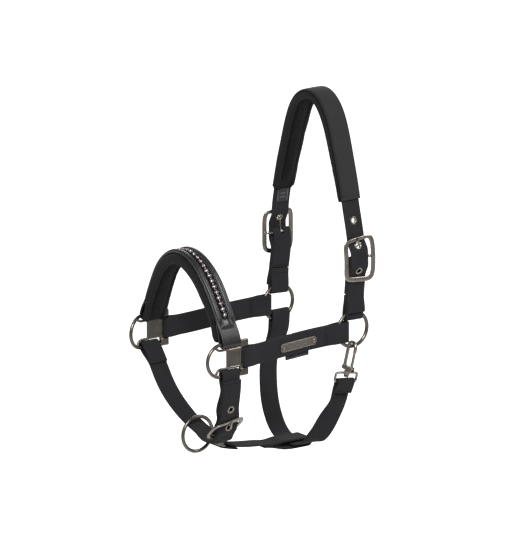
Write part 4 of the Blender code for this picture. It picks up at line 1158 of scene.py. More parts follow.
def tongue(name, line, path):
    """An eye round the wrapped bar and a pin along a path of (distance, height)."""
    eye_in, eye_out = BAR_R + 0.3, BAR_R + 0.3 + 1.3
    radius = (eye_in + eye_out) / 2
    lean = math.atan2(path[0][1] - BAR_H, path[0][0])
    angles = [lean + 2 * math.pi * k / 24 for k in range(24)]
    circle = [(radius * math.cos(angle), BAR_H + radius * math.sin(angle)) for angle in angles]
    eye = wire(name, [line(along, 0, height) for along, height in circle],
               (eye_out - eye_in) / 2 + 0.1, BRIGHT, closed=True, step=0.35)
    pin = wire("pin", [line(along, 0, height) for along, height in [circle[0]] + path], 0.95,
               step=0.4)
    cast(eye, [pin], voxel=0.3)
    one_material(eye, BRIGHT, 40)


def crown_line(flip):
    """Maps (distance above a buckle's bar, across, off); flip is for the off side."""

    def line(along, across, height):
        dist = BUCKLE_S + along
        return CROWN.spot(CROWN.length - dist if flip else dist, across, height)

    return line


FRAME_ARCH = 3.6  # the crown buckles' sides arch out beside the billet, their bars dip behind it
FRAME_SIDE = {"near": 1.6, "off": -0.9}  # how far each hangs to the rear of the strap's middle
RING_S, RING_H = CROWN.locate((CROWN_X, -RING_Y, RING_Z + RING_R - RING_REACH - 0.8), 0.0)


def buckle_path():
    """Round the buckle's bar, down outside, round the side ring and up inside."""
    path = [(dist, INNER) for dist in steps(BUCKLE_S - 43, BUCKLE_S - 12, 8)]
    path.append((BUCKLE_S - 6, (INNER + BAR_H - R_BUCKLE) / 2))
    path += arc(BUCKLE_S, BAR_H, R_BUCKLE, -90, 90)
    low_eye = CROWN_EYES[2]
    for dist in reversed(flat_at(steps(BUCKLE_S - 24, BUCKLE_S - 4, 3.4), [low_eye])):
        if abs(dist - low_eye) < EYE_FLAT + 0.1:
            drop = 0.5
        else:
            drop = 0.15 if dist < BUCKLE_S - 6 else 0.0
        path.append((dist, OUTER + crest(dist - BUCKLE_S) - drop))
    path += [(dist, OUTER) for dist in steps(BUCKLE_S - 30, RING_S + 22, 7)]
    path += [(RING_S + 22 - 15 * k / 4, OUTER + (RING_H + R_RING - OUTER) * ease(k / 4))
             for k in range(1, 4)]
    path.append((RING_S + 7.4, RING_H + R_RING))
    path += arc(RING_S, RING_H, R_RING, 90, 270)
    path.append((RING_S + 7.4, RING_H - R_RING))
    path += [(RING_S + 7 + 15 * k / 4, RING_H - R_RING + (INNER - RING_H + R_RING) * ease(k / 4))
             for k in range(1, 4)]
    path.append((BUCKLE_S - 45, INNER))
    return path


def crown_buckle(side, flip):
    """The buckle, its doubled strap down to the side ring, and the ring."""
    line = crown_line(flip)

    def hung(along, across, height):
        return line(along, across + FRAME_SIDE[side], height)

    buckle = buckle_frame(f"{side}_crown_buckle_frame", hung, BUCKLE_H, BUCKLE_HW,
                          FRAME_ARCH, END_H, middle=0.0, both=True)
    bar = wire("bar", [hung(0, across, height) for across, height in (
        (-BUCKLE_HW, FRAME_ARCH), (-15.6, BAR_H), (15.6, BAR_H), (BUCKLE_HW, FRAME_ARCH))], BAR_R)
    cast(buckle, [bar], voxel=0.3)
    tongue(f"{side}_crown_buckle_tongue", line,
           [(10.5, -0.5), (14.6, 0.2), (18.6, 5.1), (20.6, 5.9), (BUCKLE_H + 2.2, TIP_H)])
    path = buckle_path()
    if flip:
        path = [(CROWN.length - dist, height) for dist, height in path]
    strap = ribbon(f"{side}_buckle_strap", CROWN, path, STRAP_W, STRAP_T, WEBBING)
    # a slot in the fold leaves room for the tongue's eye
    slot = block("slot", line(3.2, 0, BAR_H + 1.0), (5.0, 12.0, 12.0))
    cut(strap, [slot], WEBBING, 50)
    ring(f"{side}_side_ring", Vector((RING_X, RING_Y if flip else -RING_Y, RING_Z)))


for side, sign in SIDES:
    crown_buckle(side, sign > 0)

# a woven label on the inside of the off crown strap, below the pad
SIZE_LABEL_T = 0.8
SIZE_LABEL_S = CROWN.length - CROWN.near(133)
ribbon("size_label", CROWN,
       [(SIZE_LABEL_S + step, -(COVER_IN + SIZE_LABEL_T / 2)) for step in steps(-8.5, 8.5, 2.0)],
       17.0, SIZE_LABEL_T, LABEL, step=0.8)

# ------------------------------------------------------------ cheek fittings
# (x, height from the middle, the upper strut's extra height)
STRUT = (
    (FIT_X - 8.2, 10.2, 2.4), (FIT_X - 14, 10.2, 2.4), (FIT_X - 19, 10.4, 2.4),
    (FIT_X - 23.0, 12.4, 1.8), (FIT_X - 25.6, 17.4, 0.2),
)
# (x, z) corners of the raised border on the near fitting's plate
PLATE_BORDER = [
    (FIT_X - 7.6, FIT_Z - 9.3), (FIT_X + 9.4, FIT_Z - 9.3), (FIT_X + 9.4, FIT_Z + 12.3),
    (FIT_X - 7.6, FIT_Z + 12.3),
]


def fitting(name, sign):
    """A cast D with a rear loop, tied by a plate, struts and small ears; the near one fluted."""
    level = sign * FIT_Y
    corner = 4
    rear = FIT_X + FIT_REAR - corner

    def bent(x):
        """The off fitting's front curves inward."""
        return level - (0.28 * max(0.0, -15.0 - x) if sign > 0 else 0.0)

    outline = [Vector((x, bent(x), z))
               for x, z in arc(FIT_X - FIT_DEE, FIT_Z, FIT_HALF, 90, 270, 24)]
    outline += [Vector((x, level, z))
                for x, z in arc(rear, FIT_Z - FIT_HALF + corner, corner, 270, 360, 6)
                + arc(rear, FIT_Z + FIT_HALF - corner, corner, 0, 90, 6)]
    body = wire(name, outline, FIT_BAR, GUNMETAL, closed=True, step=0.6)
    pieces = [block("plate", (FIT_X + 0.95, level, FIT_Z + 1.5), (20.9, 4.0, 25.4), bevel=1.1)]
    if sign < 0:
        for x in (-4.9, 6.6):
            pieces.append(wire("flute", [(FIT_X + x, level - 2.0, FIT_Z - 7.6),
                                         (FIT_X + x, level - 2.0, FIT_Z + 10.6)],
                               0.6, step=2.0, sides=12))
        for start, end in zip(PLATE_BORDER, PLATE_BORDER[1:] + PLATE_BORDER[:1]):
            pieces.append(wire("border", [(x, level - 1.95, z) for x, z in (start, end)],
                               0.75, step=2.0, sides=12))
    for up in (1, -1):
        pieces.append(block("ear", (FIT_X + 15.1, level, FIT_Z + up * 17.5), (12.1, 5.2, 9.6),
                            bevel=1.5))
        pieces.append(block("link", (FIT_X + 10.9, level, FIT_Z + up * 10.6), (4.4, 3.2, 6.6),
                            bevel=0.6))
        pieces.append(wire("strut", [(x, bent(x), FIT_Z + up * (z + max(0.0, up) * lift))
                                     for x, z, lift in STRUT], 1.6, step=0.6))
    cast(body, pieces, voxel=0.34)


for side, sign in SIDES:
    fitting(f"{side}_fitting", sign)


# ------------------------------------------------------------ cheek straps
def cheek_run(sign):
    span = RING_X - RING_R - FIT_X - FIT_REAR
    rise = 0.7 if sign < 0 else 0.9  # share of the rise to the ring's middle at the rear end
    shares = ((0, 0), (0.09, 0.01), (0.5, 0.5), (0.91, rise), (1, rise))
    return Run([(FIT_X + FIT_REAR + span * x, sign * (FIT_Y + (RING_Y - FIT_Y) * x),
                 FIT_Z + (RING_Z - FIT_Z) * z) for x, z in shares], wide=UP, side=float(sign))


def doubled(run, start_r, start_reach, end_r, end_reach):
    """A strap sewn into one long loop round a bar at each end of a run."""
    length, out = run.length, PITCH / 2
    path = [(length / 2 + 1, -out)]
    path += [(dist, -out) for dist in steps(length / 2 + 9, length - 19, 9)]
    path += [(length - 19 + 4 * k, -out - (end_r - out) * ease(k / 4)) for k in range(1, 4)]
    path += arc(length + end_reach, 0, end_r, -90, 90)
    path += [(length - 7 - 4 * k, out + (end_r - out) * (1 - ease((k + 1) / 4)))
             for k in range(3)]
    path += [(dist, out) for dist in steps(length - 23, 19, 9)]
    path += [(19 - 4 * k, out + (start_r - out) * ease(k / 4)) for k in range(1, 4)]
    path += arc(-start_reach, 0, start_r, 90, 270)
    path += [(7 + 4 * k, -out - (start_r - out) * (1 - ease((k + 1) / 4))) for k in range(3)]
    path += [(dist, -out) for dist in steps(19, length / 2 - 1, 9)]
    return path


CHEEKS = {side: cheek_run(sign) for side, sign in SIDES}
CHEEK_FACE = PITCH / 2 + STRAP_T / 2  # from a cheek strap's run to its face
CHEEK_MID, CHEEK_ALONG, CHEEK_WIDE, CHEEK_OUT = CHEEKS["near"].at(77.5)
PLATE_DROP = 1.5  # from the strap's middle down to the name plate's
TAB = (CHEEK_MID + CHEEK_ALONG * 2.0 - CHEEK_OUT * (CHEEK_FACE + 0.3 + 0.6)
       - CHEEK_WIDE * (STRAP_W / 2 + 1.0))


def plate_ornament(face_mid):
    """A fine raised border and two plain waves."""
    shape = Shape()

    def bar(points, radius):
        shape.strand([face_mid + CHEEK_ALONG * x + CHEEK_WIDE * y for x, y in points],
                     radius, 0.4)

    for y in (-4.2, 4.2):
        bar([(-23.4, y), (23.4, y)], 0.14)
    for x in (-18.0, 18.0):
        bar([(x, -2.9), (x, 2.9)], 0.14)
    for level, phase in ((1.15, 0), (-1.15, math.pi)):
        bar([(x, level + 1.2 * math.sin(x * 0.62 + phase)) for x in np.linspace(-15.2, 15.2, 80)],
            0.2)
    shape.detail("name_plate_ornament", "name_plate", ORNAMENT)


def name_plate():
    """The plate with cut corners on the near cheek strap, its rivets and its ornament."""
    corner, top = 2.6, NAME_T / 2
    centre = CHEEK_MID + CHEEK_OUT * (CHEEK_FACE + 0.3 + NAME_T / 2) - CHEEK_WIDE * PLATE_DROP
    half = [(NAME_LEN / 2 - corner, NAME_H / 2), (NAME_LEN / 2, NAME_H / 2 - corner)]
    outline = (half + [(x, -y) for x, y in reversed(half)]
               + [(-x, -y) for x, y in half] + [(-x, y) for x, y in reversed(half)])
    levels = ((0.0, -top), (0.0, top - 0.35), (0.35, top))  # (inset, height)
    verts = [centre + CHEEK_ALONG * (x - math.copysign(inset, x))
             + CHEEK_WIDE * (y - math.copysign(inset, y)) + CHEEK_OUT * z
             for inset, z in levels for x, y in outline]
    faces = tube(len(levels), len(outline))
    add("name_plate", mesh_of("name_plate", verts, faces, False), PLATE)

    low, high = -(CHEEK_FACE + 0.3), CHEEK_FACE + 0.3 + NAME_T + 0.15
    angles = [math.radians(angle) for angle in range(0, 91, 10)]
    dome = [(2.3 * math.sin(angle), high + 0.12 + math.cos(angle)) for angle in angles]
    shank = [(2.25, high), (1.2, high), (1.2, low), (2.3, low), (2.3, low - 0.5),
             (1.8, low - 0.8), (0, low - 0.9)]
    for tag, along in (("front", -23.0), ("rear", 23.0)):
        turned(f"name_plate_rivet_{tag}",
               CHEEK_MID - CHEEK_WIDE * PLATE_DROP + CHEEK_ALONG * along, CHEEK_OUT,
               dome + shank, RIVET, closed=False)
    plate_ornament(centre + CHEEK_OUT * (top + 0.01))


# each side's extra reach of the strap's loop inside the ring
for side, reach in (("near", 6.0), ("off", 0.46)):
    ribbon(f"{side}_cheek_strap", CHEEKS[side],
           doubled(CHEEKS[side], R_FIT + 0.35, 0.0, R_RING + 0.25, RING_REACH + reach),
           STRAP_W, STRAP_T, WEBBING)
    if side == "near":
        name_plate()
        # the folded woven tab sewn to the strap's inside, showing below it
        block("cheek_tab_label", TAB, (35.0, 12.5, 1.2), LABEL, x=CHEEK_ALONG, z=CHEEK_OUT,
              bevel=0.45)

# ------------------------------------------------------------ noseband
NOSE_X = -2.6
# (y, z): up the near side from the fitting's top bar
NOSE_SIDE = [
    (-FIT_Y, FIT_Z + FIT_HALF), (-77.2, 26.5), (-70.6, 43.5), (-61.8, 60.5), (-50.8, 78.6),
    (-41.2, 90.0), (-30.0, 99.3), (-17.5, 105.8), (-6.0, 108.6),
]


def nose_wide(point):
    """The noseband's sides open a little towards the rear."""
    y = max(-84.0, min(84.0, point.y))
    angle = math.radians(6.0) * math.sin(math.pi * abs(y) / 84.0)
    return Vector((math.cos(angle), math.copysign(math.sin(angle), y), 0))


_nose = [(NOSE_X - 4.6 * ease((z - 22) / 86.0), y, z) for y, z in NOSE_SIDE]
NOSE = Run(_nose + [(x, -y, z) for x, y, z in reversed(_nose)], wide=nose_wide)
NOSE_MID = NOSE.length / 2
R_NOSE = FIT_BAR + 0.5 + NOSE_T / 2
NOSE_BEAD_S = NOSE.near(44)  # the bead channel's padded sides end here
BEAD_S = NOSE.near(45.5)  # the first bead
NOSE_CROSS = NOSE.near(28.5)  # the cross stitching
_count = 2 * round((NOSE_MID - 3 - 4) / 8) + 1
# the pad reaches a little further down the off side
NOSE_PAD_S = [NOSE_MID + 3.6 + (i - _count / 2) * 8.0 for i in range(_count + 1)]


def from_nose_end(dist):
    return min(dist, NOSE.length - dist)


def nose_height(dist):
    return R_NOSE * (1 - ease((from_nose_end(dist) - 3) / 24))


def nose_relief(dist, section):
    """Two padded sides with a channel between, then one tapering ridge; flat on the loop."""
    end = from_nose_end(dist)
    shape = section.copy()
    if end < 18:
        return shape
    top = section[:, 1] > 0.6
    x = np.abs(section[:, 0])
    # 0 at the beads' end, 1 at the cross stitching
    past = min(max((NOSE_BEAD_S - 1.0 - end) / 13.5, 0.0), 1.0)
    full = 1 - ease(past * 1.15)
    side = np.clip(1 - ((x - 8.4) / 3.1) ** 2, 0, 1) ** 0.55 * 2.4
    ridge = (np.clip(1 - x / (3.4 + 8.0 * past), 0, 1) * 3.8 * ease(past * 4.0)
             * (1 - ease((past - 0.80) / 0.20)))
    shape[:, 1] += np.where(top, side * full + ridge, 0)
    seam = np.exp(-(((x - 11.8) / 0.5) ** 2)) * 0.35
    if abs(end - NOSE_CROSS) < 1.2:
        seam = seam + 0.3 * np.clip(1 - (x / 12.2) ** 6, 0, 1)
    shape[:, 1] -= np.where(top, seam, 0)
    return shape


def nose_pad_relief(dist, section):
    """Soft rolls along both edges with a sunken middle on the nose's side, and puckers."""
    shape = section.copy()
    x = np.abs(section[:, 0])
    low = section[:, 1] < 0
    sink = (1.5 * np.clip((11.0 - x) / 2.0, 0, 1) - 0.8 * np.clip(1 - (x / 9.0) ** 2, 0, 1)
            + 1.6 * np.exp(-(((x - NOSE_SEAM) / 0.8) ** 2)))
    swell = 0.45 * wobble(dist, 3, 0.7) + 0.22 * abs(math.sin(dist / 11.0 * math.pi))
    shape[:, 1] += np.where(low, sink + swell * np.clip(1 - x / 17, 0, 1), 0)
    # it fills up to the leather past the loops
    shape[:, 1] += np.where(~low, 3.6 * ease((from_nose_end(dist) - 26.5) / 6.0), 0)
    thin = 1 - ease(min(dist - NOSE_PAD_S[0], NOSE_PAD_S[-1] - dist) / 5.0)
    shape[:, 1] *= 1 - 0.38 * thin
    shape[:, 0] *= 1 - 0.05 * thin
    return shape


def loop_tail(layer, radius):
    """A strap's end inside its start loop, from a layer below to the loop's radius."""
    return [(24 - 4 * k, -layer - (radius - layer) * ease(k / 5)) for k in range(5)]


def noseband():
    path = loop_tail(NOSE_T + 0.45, R_NOSE) + arc(0, 0, R_NOSE, 270, 90)
    half = [5 + 4 * k for k in range(7)]
    half += steps(half[-1] + 7, NOSE_MID - 3.5, 7)
    path += [(dist, nose_height(dist)) for dist in half]
    back = [(NOSE.length - dist, height) for dist, height in reversed(path)]
    ribbon("noseband_overlay", NOSE, path + back, NOSE_W, NOSE_T, LEATHER,
           section=slab(NOSE_W, NOSE_T, 1.0, 64), relief=nose_relief, uneven=0.15)
    pad = ribbon("noseband_pad", NOSE,
                 [(dist, -NOSE_PAD_TOP - NOSE_PAD_T / 2) for dist in NOSE_PAD_S],
                 NOSE_PAD_W, NOSE_PAD_T, PADDING,
                 section=pillow(NOSE_PAD_W + 1.0, NOSE_PAD_T + 0.4, 0.38),
                 relief=nose_pad_relief, uneven=0.3)
    puff(pad, NOSE, NOSE_PAD_TOP, NOSE_SEAM)
    # painted light: the noseband pad's rolls get a lighter copy of the padding
    rolled(pad, NOSE, NOSE_SEAM)


# (radius, height) of a bead's cup, from its foot over the rim to its floor
CUP = ((2.75, -0.5), (2.95, 0.0), (2.85, 0.7), (2.45, 1.15), (2.1, 0.95), (1.95, -0.3),
       (0.0, -0.45))
# (radius, height, turn in facets) of a stone's rows, from its girdle to its table
STONE = ((1.75, 0.4, 0.0), (1.7, 0.75, 0.5), (1.25, 1.4, 0.0), (0.7, 1.7, 0.5))
# (across, height) of the channel the beads lie in
CHANNEL_SECTION = ((-5.0, 0.35), (-4.6, 0.62), (0.0, 0.55), (4.6, 0.62), (5.0, 0.35),
                   (4.9, -0.3), (-4.9, -0.3))


def nose_top(dist, height):
    """The frame of the noseband at a height off the leather."""
    centre, along, wide, out = NOSE.at(dist)
    return centre + out * (nose_height(dist) + NOSE_T / 2 + height), along, wide, out


def bead_cup(chain, dist, sides=20):
    """A small turned bezel with four claws."""
    base, along, wide, out = nose_top(dist, 0.45)
    verts = []
    for k in range(sides):
        angle = 2 * math.pi * k / sides
        claw = 1.0 + 0.09 * max(0.0, math.cos(4 * angle)) ** 6
        for radius, z in CUP:
            verts.append(base + along * (radius * claw * math.cos(angle))
                         + wide * (radius * claw * math.sin(angle)) + out * z)
    foot = tuple(range(0, sides * len(CUP), len(CUP)))
    chain.add(verts, grid(sides, len(CUP), True, False) + [foot])


def bead_stone(stones, dist, turn, sides=8):
    base, along, wide, out = nose_top(dist, 0.45)
    verts = []
    for radius, z, offset in STONE:
        for k in range(sides):
            angle = 2 * math.pi * (k + offset) / sides + turn
            verts.append(base + along * (radius * math.cos(angle))
                         + wide * (radius * math.sin(angle)) + out * z)
    faces = []
    for i in range(len(STONE) - 1):
        for k in range(sides):
            low, low_after = i * sides + k, i * sides + (k + 1) % sides
            high, high_after = low + sides, low_after + sides
            if STONE[i][2] == 0.0:
                faces += [(low, low_after, high), (low_after, high_after, high)]
            else:
                faces += [(low, low_after, high_after), (low, high_after, high)]
    faces.append(tuple((len(STONE) - 1) * sides + k for k in range(sides)))
    faces.append(tuple(reversed(range(sides))))
    stones.add(verts, faces)


def bead_link(chain, dist, pitch):
    """A small dark link between two cups."""
    base, along, _, out = nose_top(dist, 0.35)
    reach = pitch / 2 - 2.2
    chain.strand([base - along * reach, base - along * 0.3 + out * 0.4,
                  base + along * 0.3 + out * 0.4, base + along * reach], 1.15, 0.4, sides=12)


def beads():
    """Faceted stones in dark cups along the noseband, and the channel they lie in."""
    length = NOSE.length - 2 * BEAD_S
    count = round(length / 7.0)
    pitch = length / count
    stones, chain, channel = Shape(), Shape(), Shape()
    for i in range(count + 1):
        dist = BEAD_S + pitch * i
        bead_cup(chain, dist)
        bead_stone(stones, dist, 0.3 * i)
        if i < count:
            bead_link(chain, dist + pitch / 2, pitch)
    chain_mesh = mesh_of("noseband_bead_chain", chain.points, chain.faces)
    add("noseband_bead_chain", chain_mesh, CUPS)
    stones.detail("noseband_stones", "noseband_bead_chain", STONES, smooth=False)
    stations = np.arange(BEAD_S - 3.6, NOSE.length - BEAD_S + 3.6, 1.5)
    channel.add([NOSE.spot(dist, x, nose_height(dist) + NOSE_T / 2 + z)
                 for dist in stations for x, z in CHANNEL_SECTION],
                tube(len(stations), len(CHANNEL_SECTION)))
    channel.detail("noseband_channel", "noseband_overlay", CHANNEL)


noseband()
beads()

# ------------------------------------------------------------ chin
SLACK = 3.0  # how far the chin strap's loops hang past the fittings' bars
HEEL = Vector((6.4, -52.0, -105.5))  # the chin buckle's wrapped bar
HEAD = Vector((2.2, -75.9, -84.8))  # and its end bar
_span = (HEAD - HEEL).length
_to_head = (HEAD - HEEL).normalized()
_wide = square_to(ACROSS, _to_head)
_tilt = math.asin((END_H - BAR_H) / _span)
CHIN_ALONG = (_to_head * math.cos(_tilt) - _wide.cross(_to_head) * math.sin(_tilt)).normalized()
CHIN_OUT = _wide.cross(CHIN_ALONG)
CHIN_0 = HEEL - CHIN_OUT * BAR_H  # the billet's run passes here, above the wrapped bar
CHIN_L = _span * math.cos(_tilt)
# from the off fitting's bottom bar, under the chin and up to the billet's tip
CHIN = Run([
    Vector((-3.5, FIT_Y, FIT_Z - FIT_HALF)), (-3.5, 67.0, -40.5),
    Vector((-2.2, 54.5, -60.2)), Vector((1.8, 36, -83.6)), Vector((6, 19, -98.4)),
    Vector((8, 3, -106.8)), Vector((8, -14, -112.2)), Vector((7, -29, -117.2)),
    CHIN_0 - CHIN_ALONG * 11, CHIN_0, CHIN_0 + CHIN_ALONG * CHIN_L * 0.5,
    CHIN_0 + CHIN_ALONG * CHIN_L,
    Vector((-1.4, -79.3, -72)), Vector((-2.4, -83.4, -54)), Vector((-3.3, -86.9, -37)),
    Vector((-3.5, -87.4, -25.8)),
])
CHIN_S = CHIN.near(CHIN_0.y, 1)
CHIN_TIP = CHIN.length - 5.5
CHIN_EYE = 20.5
CHIN_EYES = [CHIN_S + CHIN_EYE + 28.5, CHIN_S + CHIN_EYE]
CHIN_RISE = (14.5, 27.6)  # where the billet starts down from its crest, and where it is flat
# the near fitting's bottom bar
FIT_S, FIT_H = CHIN.locate((-3.5, -FIT_Y, FIT_Z - FIT_HALF), CHIN.length)


def chin_height(dist):
    past = dist - CHIN_S
    if past >= 0:
        return crest(past, *CHIN_RISE)
    return CREST * (1 - ease((-past - 5) / 13)) + (R_FIT * (1 - ease((dist - 3) / 22)))


def chin_line(along, across, height):
    return CHIN.spot(CHIN_S + along, across, height)


def slack(dist):
    """The inner layer hangs away from the outer one between the fitting and the buckle."""
    share = min(max((dist - CHIN_S - 10) / (FIT_S - 14 - CHIN_S - 10), 0.0), 1.0)
    return INNER - 5.0 * math.sin(math.pi * share) ** 2


def chin_strap():
    path = loop_tail(PITCH, R_FIT) + arc(-SLACK, 0, R_FIT, 270, 90)
    stations = [5 + 4 * k for k in range(6)]
    stations += steps(stations[-1] + 7, CHIN_S - 26, 7)
    stations += steps(CHIN_S - 22, CHIN_S + 30, 3.2)
    stations += steps(CHIN_S + 36, CHIN_TIP, 7)
    path += [(dist, chin_height(dist)) for dist in flat_at(stations, CHIN_EYES)]
    strap = ribbon("chin_strap", CHIN, path, STRAP_W, STRAP_T, WEBBING)
    eyes = [eyelet(f"chin_eyelet_{k + 1}", CHIN, dist, chin_height)
            for k, dist in enumerate(CHIN_EYES)]
    cut(strap, eyes, WEBBING, 50)


def chin_buckle():
    buckle = buckle_frame("chin_buckle_frame",
                          lambda along, across, height: chin_line(along, across - 1.7, height),
                          CHIN_L / 2, 17.8, BAR_H, END_H, middle=CHIN_L / 2, both=False)
    one_material(buckle, BRIGHT)
    tongue("chin_buckle_tongue", chin_line,
           [(13.0, -0.6), (18.4, 0.6), (22.4, 5.3), (24.6, 6.0), (CHIN_L + 2.2, TIP_H)])


def chin_buckle_strap():
    """Doubled, from the near fitting's bottom bar down to the chin buckle's wrapped bar."""
    path = [(dist, slack(dist)) for dist in steps(CHIN_S + 34, CHIN_S + 14, 5)]
    path.append((CHIN_S + 8, (INNER + BAR_H - R_BUCKLE) / 2))
    path += arc(CHIN_S, BAR_H, R_BUCKLE, 270, 90)
    stations = steps(CHIN_S + 3.5, CHIN_S + 30, 3.2) + steps(CHIN_S + 36, FIT_S - 22, 6)
    for dist in flat_at(stations, CHIN_EYES):
        at_eye = min(abs(dist - eye) for eye in CHIN_EYES) < EYE_FLAT + 0.1
        drop = 0.7 if at_eye else 0.1
        path.append((dist, OUTER + crest(dist - CHIN_S, *CHIN_RISE) - drop))
    path += [(FIT_S - 22 + 5 * k, OUTER + (FIT_H + R_FIT - OUTER) * ease(k / 4))
             for k in range(1, 4)]
    path += arc(FIT_S + SLACK, FIT_H, R_FIT, 90, -90)
    path += [(FIT_S - 7 - 5 * k, FIT_H - R_FIT + (INNER - FIT_H + R_FIT) * ease((k + 1) / 4))
             for k in range(3)]
    path += [(dist, slack(dist)) for dist in steps(FIT_S - 27, CHIN_S + 36, 6)]
    strap = ribbon("chin_buckle_strap", CHIN, path, STRAP_W, STRAP_T, WEBBING)
    # slots in the fold and above it, on the tongue's line
    slots = [block("slot", chin_line(-2.6, 0, 0), (5.0, 12.0, 18.0), z=CHIN_OUT),
             block("slot_up", chin_line(12.3, 0, 2.4), (5.0, 18.2, 12.0), z=CHIN_OUT)]
    cut(strap, slots, WEBBING, 50)


chin_strap()
chin_buckle()
chin_buckle_strap()
ring("chin_ring", Vector((8.0, 0.0, -118.0)))

# ------------------------------------------------------------ jaw link and jaw strap
LINK = Vector((27.5, -3.5, -130.0))
LINK_X = Vector((math.cos(math.radians(22)), 0, -math.sin(math.radians(22))))
LINK_HX, LINK_HY, LINK_R = 6.0, 17.5, 1.6  # half sizes and wire radius
LINK_BAR = LINK + LINK_X * LINK_HX
R_LINK = LINK_R + GAP + STRAP_T / 2
R_LOOP = 4.8  # the loop that holds the throat strap

wire("jaw_link", [LINK + LINK_X * x + Vector((0, y, 0))
                  for x, y in round_corners(LINK_HX, LINK_HY, 2.4)],
     LINK_R, GUNMETAL, closed=True, step=0.5, sides=28)

JAW = Run([LINK_BAR, (52, -3, -137.5), (75, -1.5, -141.8), (100, 0, -145.0), (120, 0, -148.4),
           (137, 0, -150.5), (150.0, 0.0, -150.8)], wide=Vector((0, -1, 0)))


def jaw_strap():
    length = JAW.length
    path = loop_tail(PITCH, R_LINK) + arc(0, 0, R_LINK, 270, 90)
    path += [(5 + 4 * k, R_LINK * (1 - ease((2 + 4 * k) / 20))) for k in range(5)]
    path += [(dist, 0.0) for dist in steps(30, length - 42, 8)]
    path += [(length - 38 + 5 * k, R_LOOP * ease((k + 1) / 5)) for k in range(4)]
    path += [(dist, R_LOOP) for dist in (length - 16, length - 8, length, length + 7)]
    path += arc(length + 13, 0, R_LOOP, 90, -90)
    path += [(dist, -R_LOOP) for dist in (length + 7, length, length - 8, length - 16)]
    path += [(length - 23 - 5 * k, -R_LOOP + (R_LOOP - PITCH) * ease((k + 1) / 5))
             for k in range(4)]
    path += [(dist, -PITCH) for dist in (length - 44, length - 52)]
    ribbon("jaw_strap", JAW, path, STRAP_W, STRAP_T, WEBBING)


jaw_strap()

# ------------------------------------------------------------ snap hook, hung on the near ring
HOOK_TOP = Vector((RING_X, -RING_Y, RING_Z - RING_R))  # where the ring's wire passes the hook
SNAP_END = Vector((174.2, -70.2, -64.6))  # the swivel loop's strap bar
SNAP_Z = (HOOK_TOP - SNAP_END).normalized()
SNAP_X = square_to(ACROSS, SNAP_Z)
SNAP_Y = SNAP_Z.cross(SNAP_X)
ARM, ARM_R = 6.7, 2.1  # from the stem's line to each arm, and the arms' radius
HOOK_C = -1.9  # height of the hook's curve's centre
PIN_Y, PIN_Z = -ARM, -27.2  # the gate's pivot
SWIVEL_R = 1.5  # wire radius of the swivel loop
LOOP_TOP = -33.6
LOOP_BOTTOM = -(HOOK_TOP - SNAP_END).length


def snap(x, y, z):
    """A point in the snap's frame: z up its stem from the ring's wire, x along its pin."""
    return HOOK_TOP + SNAP_X * x + SNAP_Y * y + SNAP_Z * z


def snap_block(name, centre, size, material=None, bevel=0.0):
    return block(name, snap(*centre), size, material, x=SNAP_X, z=SNAP_Z, bevel=bevel)


def snap_hook():
    curve = arc(0, HOOK_C, ARM, 0, 180, 18)
    points = [snap(0, -ARM, -6.0)] + [snap(0, -y, z) for y, z in curve]
    points += [snap(0, ARM, z) for z in (-6.0, -12.0, -20.0, -27.0)]
    hook = wire("snap_hook_body", points, ARM_R, BRIGHT, step=0.5, sides=28)
    pieces = [
        snap_block("base", (0, 1.6, -28.0), (6.4, 14.6, 5.0), bevel=1.4),
        snap_block("lugs", (0, -ARM, -27.6), (6.4, 6.2, 6.4), bevel=1.2),
        rod("neck_low", snap(0, 0, -31.0), SNAP_Z, 2.6, 2.4),
        rod("stem", snap(0, 0, -34.0), SNAP_Z, 1.7, 9.0),
        rod("head", snap(0, 0, -37.6), SNAP_Z, 3.1, 2.0),
    ]
    cast(hook, pieces, voxel=0.26)
    cut(hook, [snap_block("gate_slot", (0, PIN_Y - 0.2, PIN_Z + 2.2), (3.5, 8.4, 10.0))], BRIGHT)


def snap_gate():
    """The gate with its pin and spring."""
    pin = rod("snap_gate_pin", snap(0, PIN_Y, PIN_Z), SNAP_X, 0.8, 6.9, BRIGHT)
    one_material(pin, BRIGHT)
    gate = snap_block("snap_gate", (0, -ARM, -15.9), (2.8, 3.0, 16.6), BRIGHT, bevel=0.9)
    eye = rod("gate_eye", snap(0, PIN_Y, PIN_Z), SNAP_X, 1.9, 2.8)
    neck = snap_block("neck", (0, -ARM, -24.5), (2.8, 2.4, 4.0), bevel=0.5)
    cast(gate, [neck, eye], voxel=0.22)
    spring = ((-2.4, -25.1), (-2.0, -24.0), (-3.2, -22.6), (-4.55, -21.0), (-4.75, -18.0))
    wire("snap_gate_spring", [snap(0, y, z) for y, z in spring], 0.3, GUNMETAL, step=0.3,
         sides=12)


def swivel_loop():
    middle, half = (LOOP_TOP + LOOP_BOTTOM) / 2, (LOOP_TOP - LOOP_BOTTOM) / 2
    points = [snap(x, 0, middle + z) for x, z in round_corners(15.9, half, 2.0)]
    loop = wire("snap_swivel_loop", points, SWIVEL_R, BRIGHT, closed=True)
    cast(loop, [rod("boss", snap(0, 0, LOOP_TOP), SNAP_Z, 3.7, 4.6)], voxel=0.24)
    cut(loop, [rod("swivel_bore", snap(0, 0, LOOP_TOP), SNAP_Z, 2.1, 12.0)], BRIGHT)


snap_hook()
snap_gate()
swivel_loop()

# ------------------------------------------------------------ throat strap
THROAT_X = 182.9  # clear of the cheek strap's end
FACING = Vector((0.88, -0.46, -0.1))  # the near half of the strap turns its face forward
R_SNAP = SWIVEL_R + GAP + 0.15 + STRAP_T / 2


def throat_wide(point):
    if point.y >= 0:
        return ACROSS
    turned_forward = ACROSS.lerp(FACING, ease((-point.y - 24) / 18))
    return turned_forward.lerp(SNAP_X, ease((point.z + 122) / 34))


